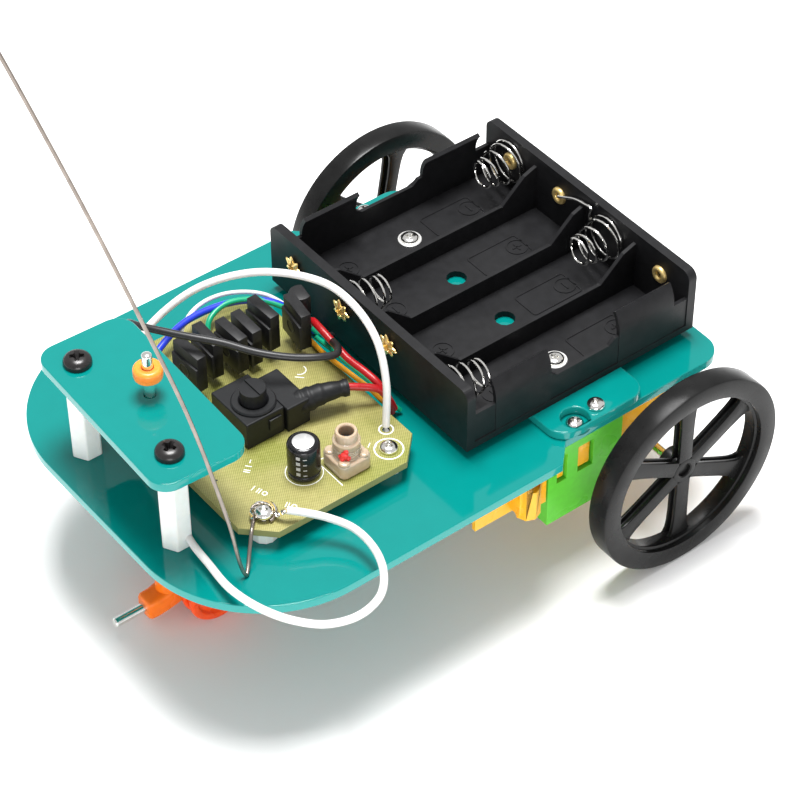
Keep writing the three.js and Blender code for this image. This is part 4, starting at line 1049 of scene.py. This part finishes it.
# finish, radius and points of the thin leads that only the looks have
LOOSE_LEADS = {
    "blue_lead": ("wire_blue", 0.72, [
        (-20.5, -77.5, 0.2), (-21.6, -75.6, 2.4), (-23.4, -71.4, 3.6), (-25.4, -65.5, 3.9),
        (-25.8, -59.5, 3.7), (-24.4, -52, 3.0), (-20.8, -46.4, 1.6), (-17, -43.6, -1.6), (-14.5, -42, -3.6)]),
    "white_lead": ("wire_white", 0.45, [
        (-22.4, -69, 0.2), (-24.8, -66.4, 3.2), (-27.2, -61, 4.4), (-27.2, -54, 4.0), (-23.6, -47.4, 2.6),
        (-18.6, -43.4, -1.2), (-16, -42, -3.6)]),
    "green_lead": ("wire_green", 0.6, [
        (-22, -62.5, 0.2), (-24.2, -60.4, 2.6), (-25.2, -56, 3.6), (-23.4, -50, 2.9), (-19.4, -45.6, 1.0),
        (-15.6, -43, -2.0), (-13.4, -42, -3.6)]),
    "red_motor_lead": ("wire_red", 0.75, [
        (-11, -46.4, 2.2), (-8.6, -46.9, 6.0), (-5, -47.8, 7.4), (-0.8, -47.7, 6.5), (3.7, -47.5, 5.4),
        (8.2, -46.7, 4.7), (11.2, -46.1, 3.7), (12.9, -45.2, 1.0), (13.4, -43.9, -2.6)]),
    "yellow_lead": ("wire_yellow", 0.5, [
        (-9, -47.2, 0.9), (-5, -47.6, 1.2), (0, -47.4, 1.3), (4.6, -46.9, 1.1), (9, -46.3, 0.7),
        (12, -45.4, -1.0), (13, -43.2, -3.4)]),
    "teal_lead": ("wire_green", 0.5, [
        (-8.6, -46.0, 1.2), (-4, -46.2, 1.9), (1, -46.1, 1.9), (5.6, -45.7, 1.7), (9.8, -45.1, 0.8),
        (12.6, -44.2, -1.6), (13.6, -42.6, -3.6)]),
}
SLEEVE = [(6.2, -61.4, 3.6), (6.9, -59.4, 4.1), (7.8, -57, 4.7), (8.7, -54.4, 4.9), (9.5, -52, 4.8)]
# radius of the sleeve by the share of its length
SLEEVE_R = [(0, 2.4), (0.12, 2.5), (0.18, 2.25), (0.3, 2.4), (0.36, 2.1), (0.5, 2.15), (0.56, 1.9),
            (0.7, 1.8), (0.86, 1.5), (0.93, 1.75), (1, 1.7)]
WHIP_R = 0.4
STRANDS = ("brass", "bright_steel", "antenna_wire", "bright_steel")


def above_board(points):
    top = Box("circuit_board").z1
    return [(x, y, z + top) for x, y, z in points]


def sleeve_radius(t):
    for (a, ra), (b, rb) in zip(SLEEVE_R, SLEEVE_R[1:]):
        if t <= b:
            return ra + (rb - ra) * (t - a) / (b - a)
    return SLEEVE_R[-1][1]


def antenna():
    """The steel wire antenna: an eye round its screw, a bend down to the plate, then the whip."""
    s = Box("antenna_screw")
    angles = [1.39 * pi * k / 16 for k in range(17)]
    eye = [(s.cx + 1.9 * cos(a), s.cy + 1.9 * sin(a), WHIP_R + 0.05) for a in angles]
    whip = tube(above_board(eye + ANTENNA_TAIL), WHIP_R - 0.02, 12)
    build("antenna_whip", whip, "antenna_wire", "antenna")


def lead_strands():
    """The bare strands from the end of the white lead, wound round the antenna screw."""
    s, top = Box("antenna_screw"), Box("circuit_board").z1
    z = top + 2 * WHIP_R + 0.1 + 0.35
    stop = Vector(above_board(AERIAL_LEAD[-1:])[0])
    straight, steps, wobble = 0.55, 40, 0.28
    for k, finish in enumerate(STRANDS):
        path = []
        for j in range(steps):
            t = j / (steps - 1)
            a = 2 * pi * (3.2 * t + k / len(STRANDS))
            base = stop.lerp(Vector((s.cx + 2.1, s.cy + 1.6, z)), min(t / straight, 1))
            if t > straight:
                b = 0.2 * pi + 1.25 * pi * (t - straight) / (1 - straight)
                base = Vector((s.cx + 2.35 * cos(b), s.cy + 2.35 * sin(b), z))
            across = wobble * cos(a)
            path.append(base + Vector((across, -across, wobble * sin(a))))
        build(f"lead_strand_{k + 1}", tube(path, 0.2, 8, 3), finish)


def leads():
    build("aerial_wire", tube(above_board(AERIAL_LEAD), LEAD_R, 16), "wire_white", "aerial_lead")
    build("battery_wire", tube(above_board(BATTERY_LEAD), LEAD_R, 16), "wire_black", "battery_lead")
    build("switch_wire", tube(above_board(SWITCH_LEAD), LEAD_R, 16), "wire_red", "switch_lead")
    for name, (finish, r, points) in LOOSE_LEADS.items():
        build(name, tube(above_board(points), r, 12), finish)
    build("switch_sleeve", tube(above_board(SLEEVE), sleeve_radius, 24, 12), "switch_black")
    antenna()
    lead_strands()


plates()
screws()
caster()
drive_wheel()
drive_train()
battery_box()
board()
switch()
capacitor()
coil()
transistors()
leads()


# ---- stage --------------------------------------------------------------------------
AMBIENT, KEY, FILL = 0.66, 13.5, 3.0
FLOOR_HALF = 3.0  # metres
# the camera: its axes, its place in the car's frame in millimetres, and its lens and sensor
CAMERA_RIGHT = Vector((0.61163923, 0.79112325, -0.0046313))
CAMERA_UP = Vector((-0.54319867, 0.42420352, 0.72455957))
CAMERA_BACK = Vector((0.57518054, -0.44065334, 0.68919662))
CAMERA_X, CAMERA_Y, CAMERA_Z = 322.689, -279.439, 376.014
LENS, SENSOR = 126.586, 36


def softbox(name, place, size, power):
    """A rectangular lamp that faces the middle of the car."""
    data = bpy.data.lights.new(name, "AREA")
    data.shape = "RECTANGLE"
    data.size, data.size_y = size
    data.energy = power
    lamp = added(name, data)
    lamp.location = place
    lamp.rotation_mode = "QUATERNION"
    toward = Vector(place) - Vector((0, AXIS_Y / MM - 0.04, 0))
    lamp.rotation_quaternion = toward.to_track_quat("Z", "Y")


def stage():
    scene = bpy.context.scene
    n = Nodes("paper")
    fine = n.noise(40.0, 2.0)
    n.set(Base_Color=n.mix(fine, (0.9, 0.9, 0.9), (0.93, 0.93, 0.93)), Roughness=0.9)
    z = (Box("left_wheel").z0 + BASE_Z) / MM
    corners = [(x * FLOOR_HALF, y * FLOOR_HALF, z) for x, y in ((-1, -1), (1, -1), (1, 1), (-1, 1))]
    mesh = bpy.data.meshes.new("floor")
    mesh.from_pydata(corners, [], [(0, 1, 2, 3)])
    mesh.materials.append(n.material)
    added("floor", mesh)

    world = bpy.data.worlds.new("studio")
    world.use_nodes = True
    background = world.node_tree.nodes["Background"]
    background.inputs[0].default_value = (1, 1, 1, 1)
    background.inputs[1].default_value = AMBIENT
    scene.world = world
    softbox("key", (-0.08, AXIS_Y / MM + 0.01, 0.85), (0.34, 0.34), KEY)
    softbox("fill", (0.75, AXIS_Y / MM - 0.55, 0.12), (0.5, 0.3), FILL)

    data = bpy.data.cameras.new("photo_camera")
    data.lens = LENS
    data.sensor_width = SENSOR
    data.clip_start = 0.01
    camera = added("photo_camera", data)
    place = Vector((CAMERA_X, CAMERA_Y + AXIS_Y, CAMERA_Z + BASE_Z)) / MM
    axes = Matrix((CAMERA_RIGHT, CAMERA_UP, CAMERA_BACK)).transposed().to_4x4()
    camera.matrix_world = Matrix.Translation(place) @ axes
    scene.camera = camera
    scene.view_settings.view_transform = "Standard"


stage()
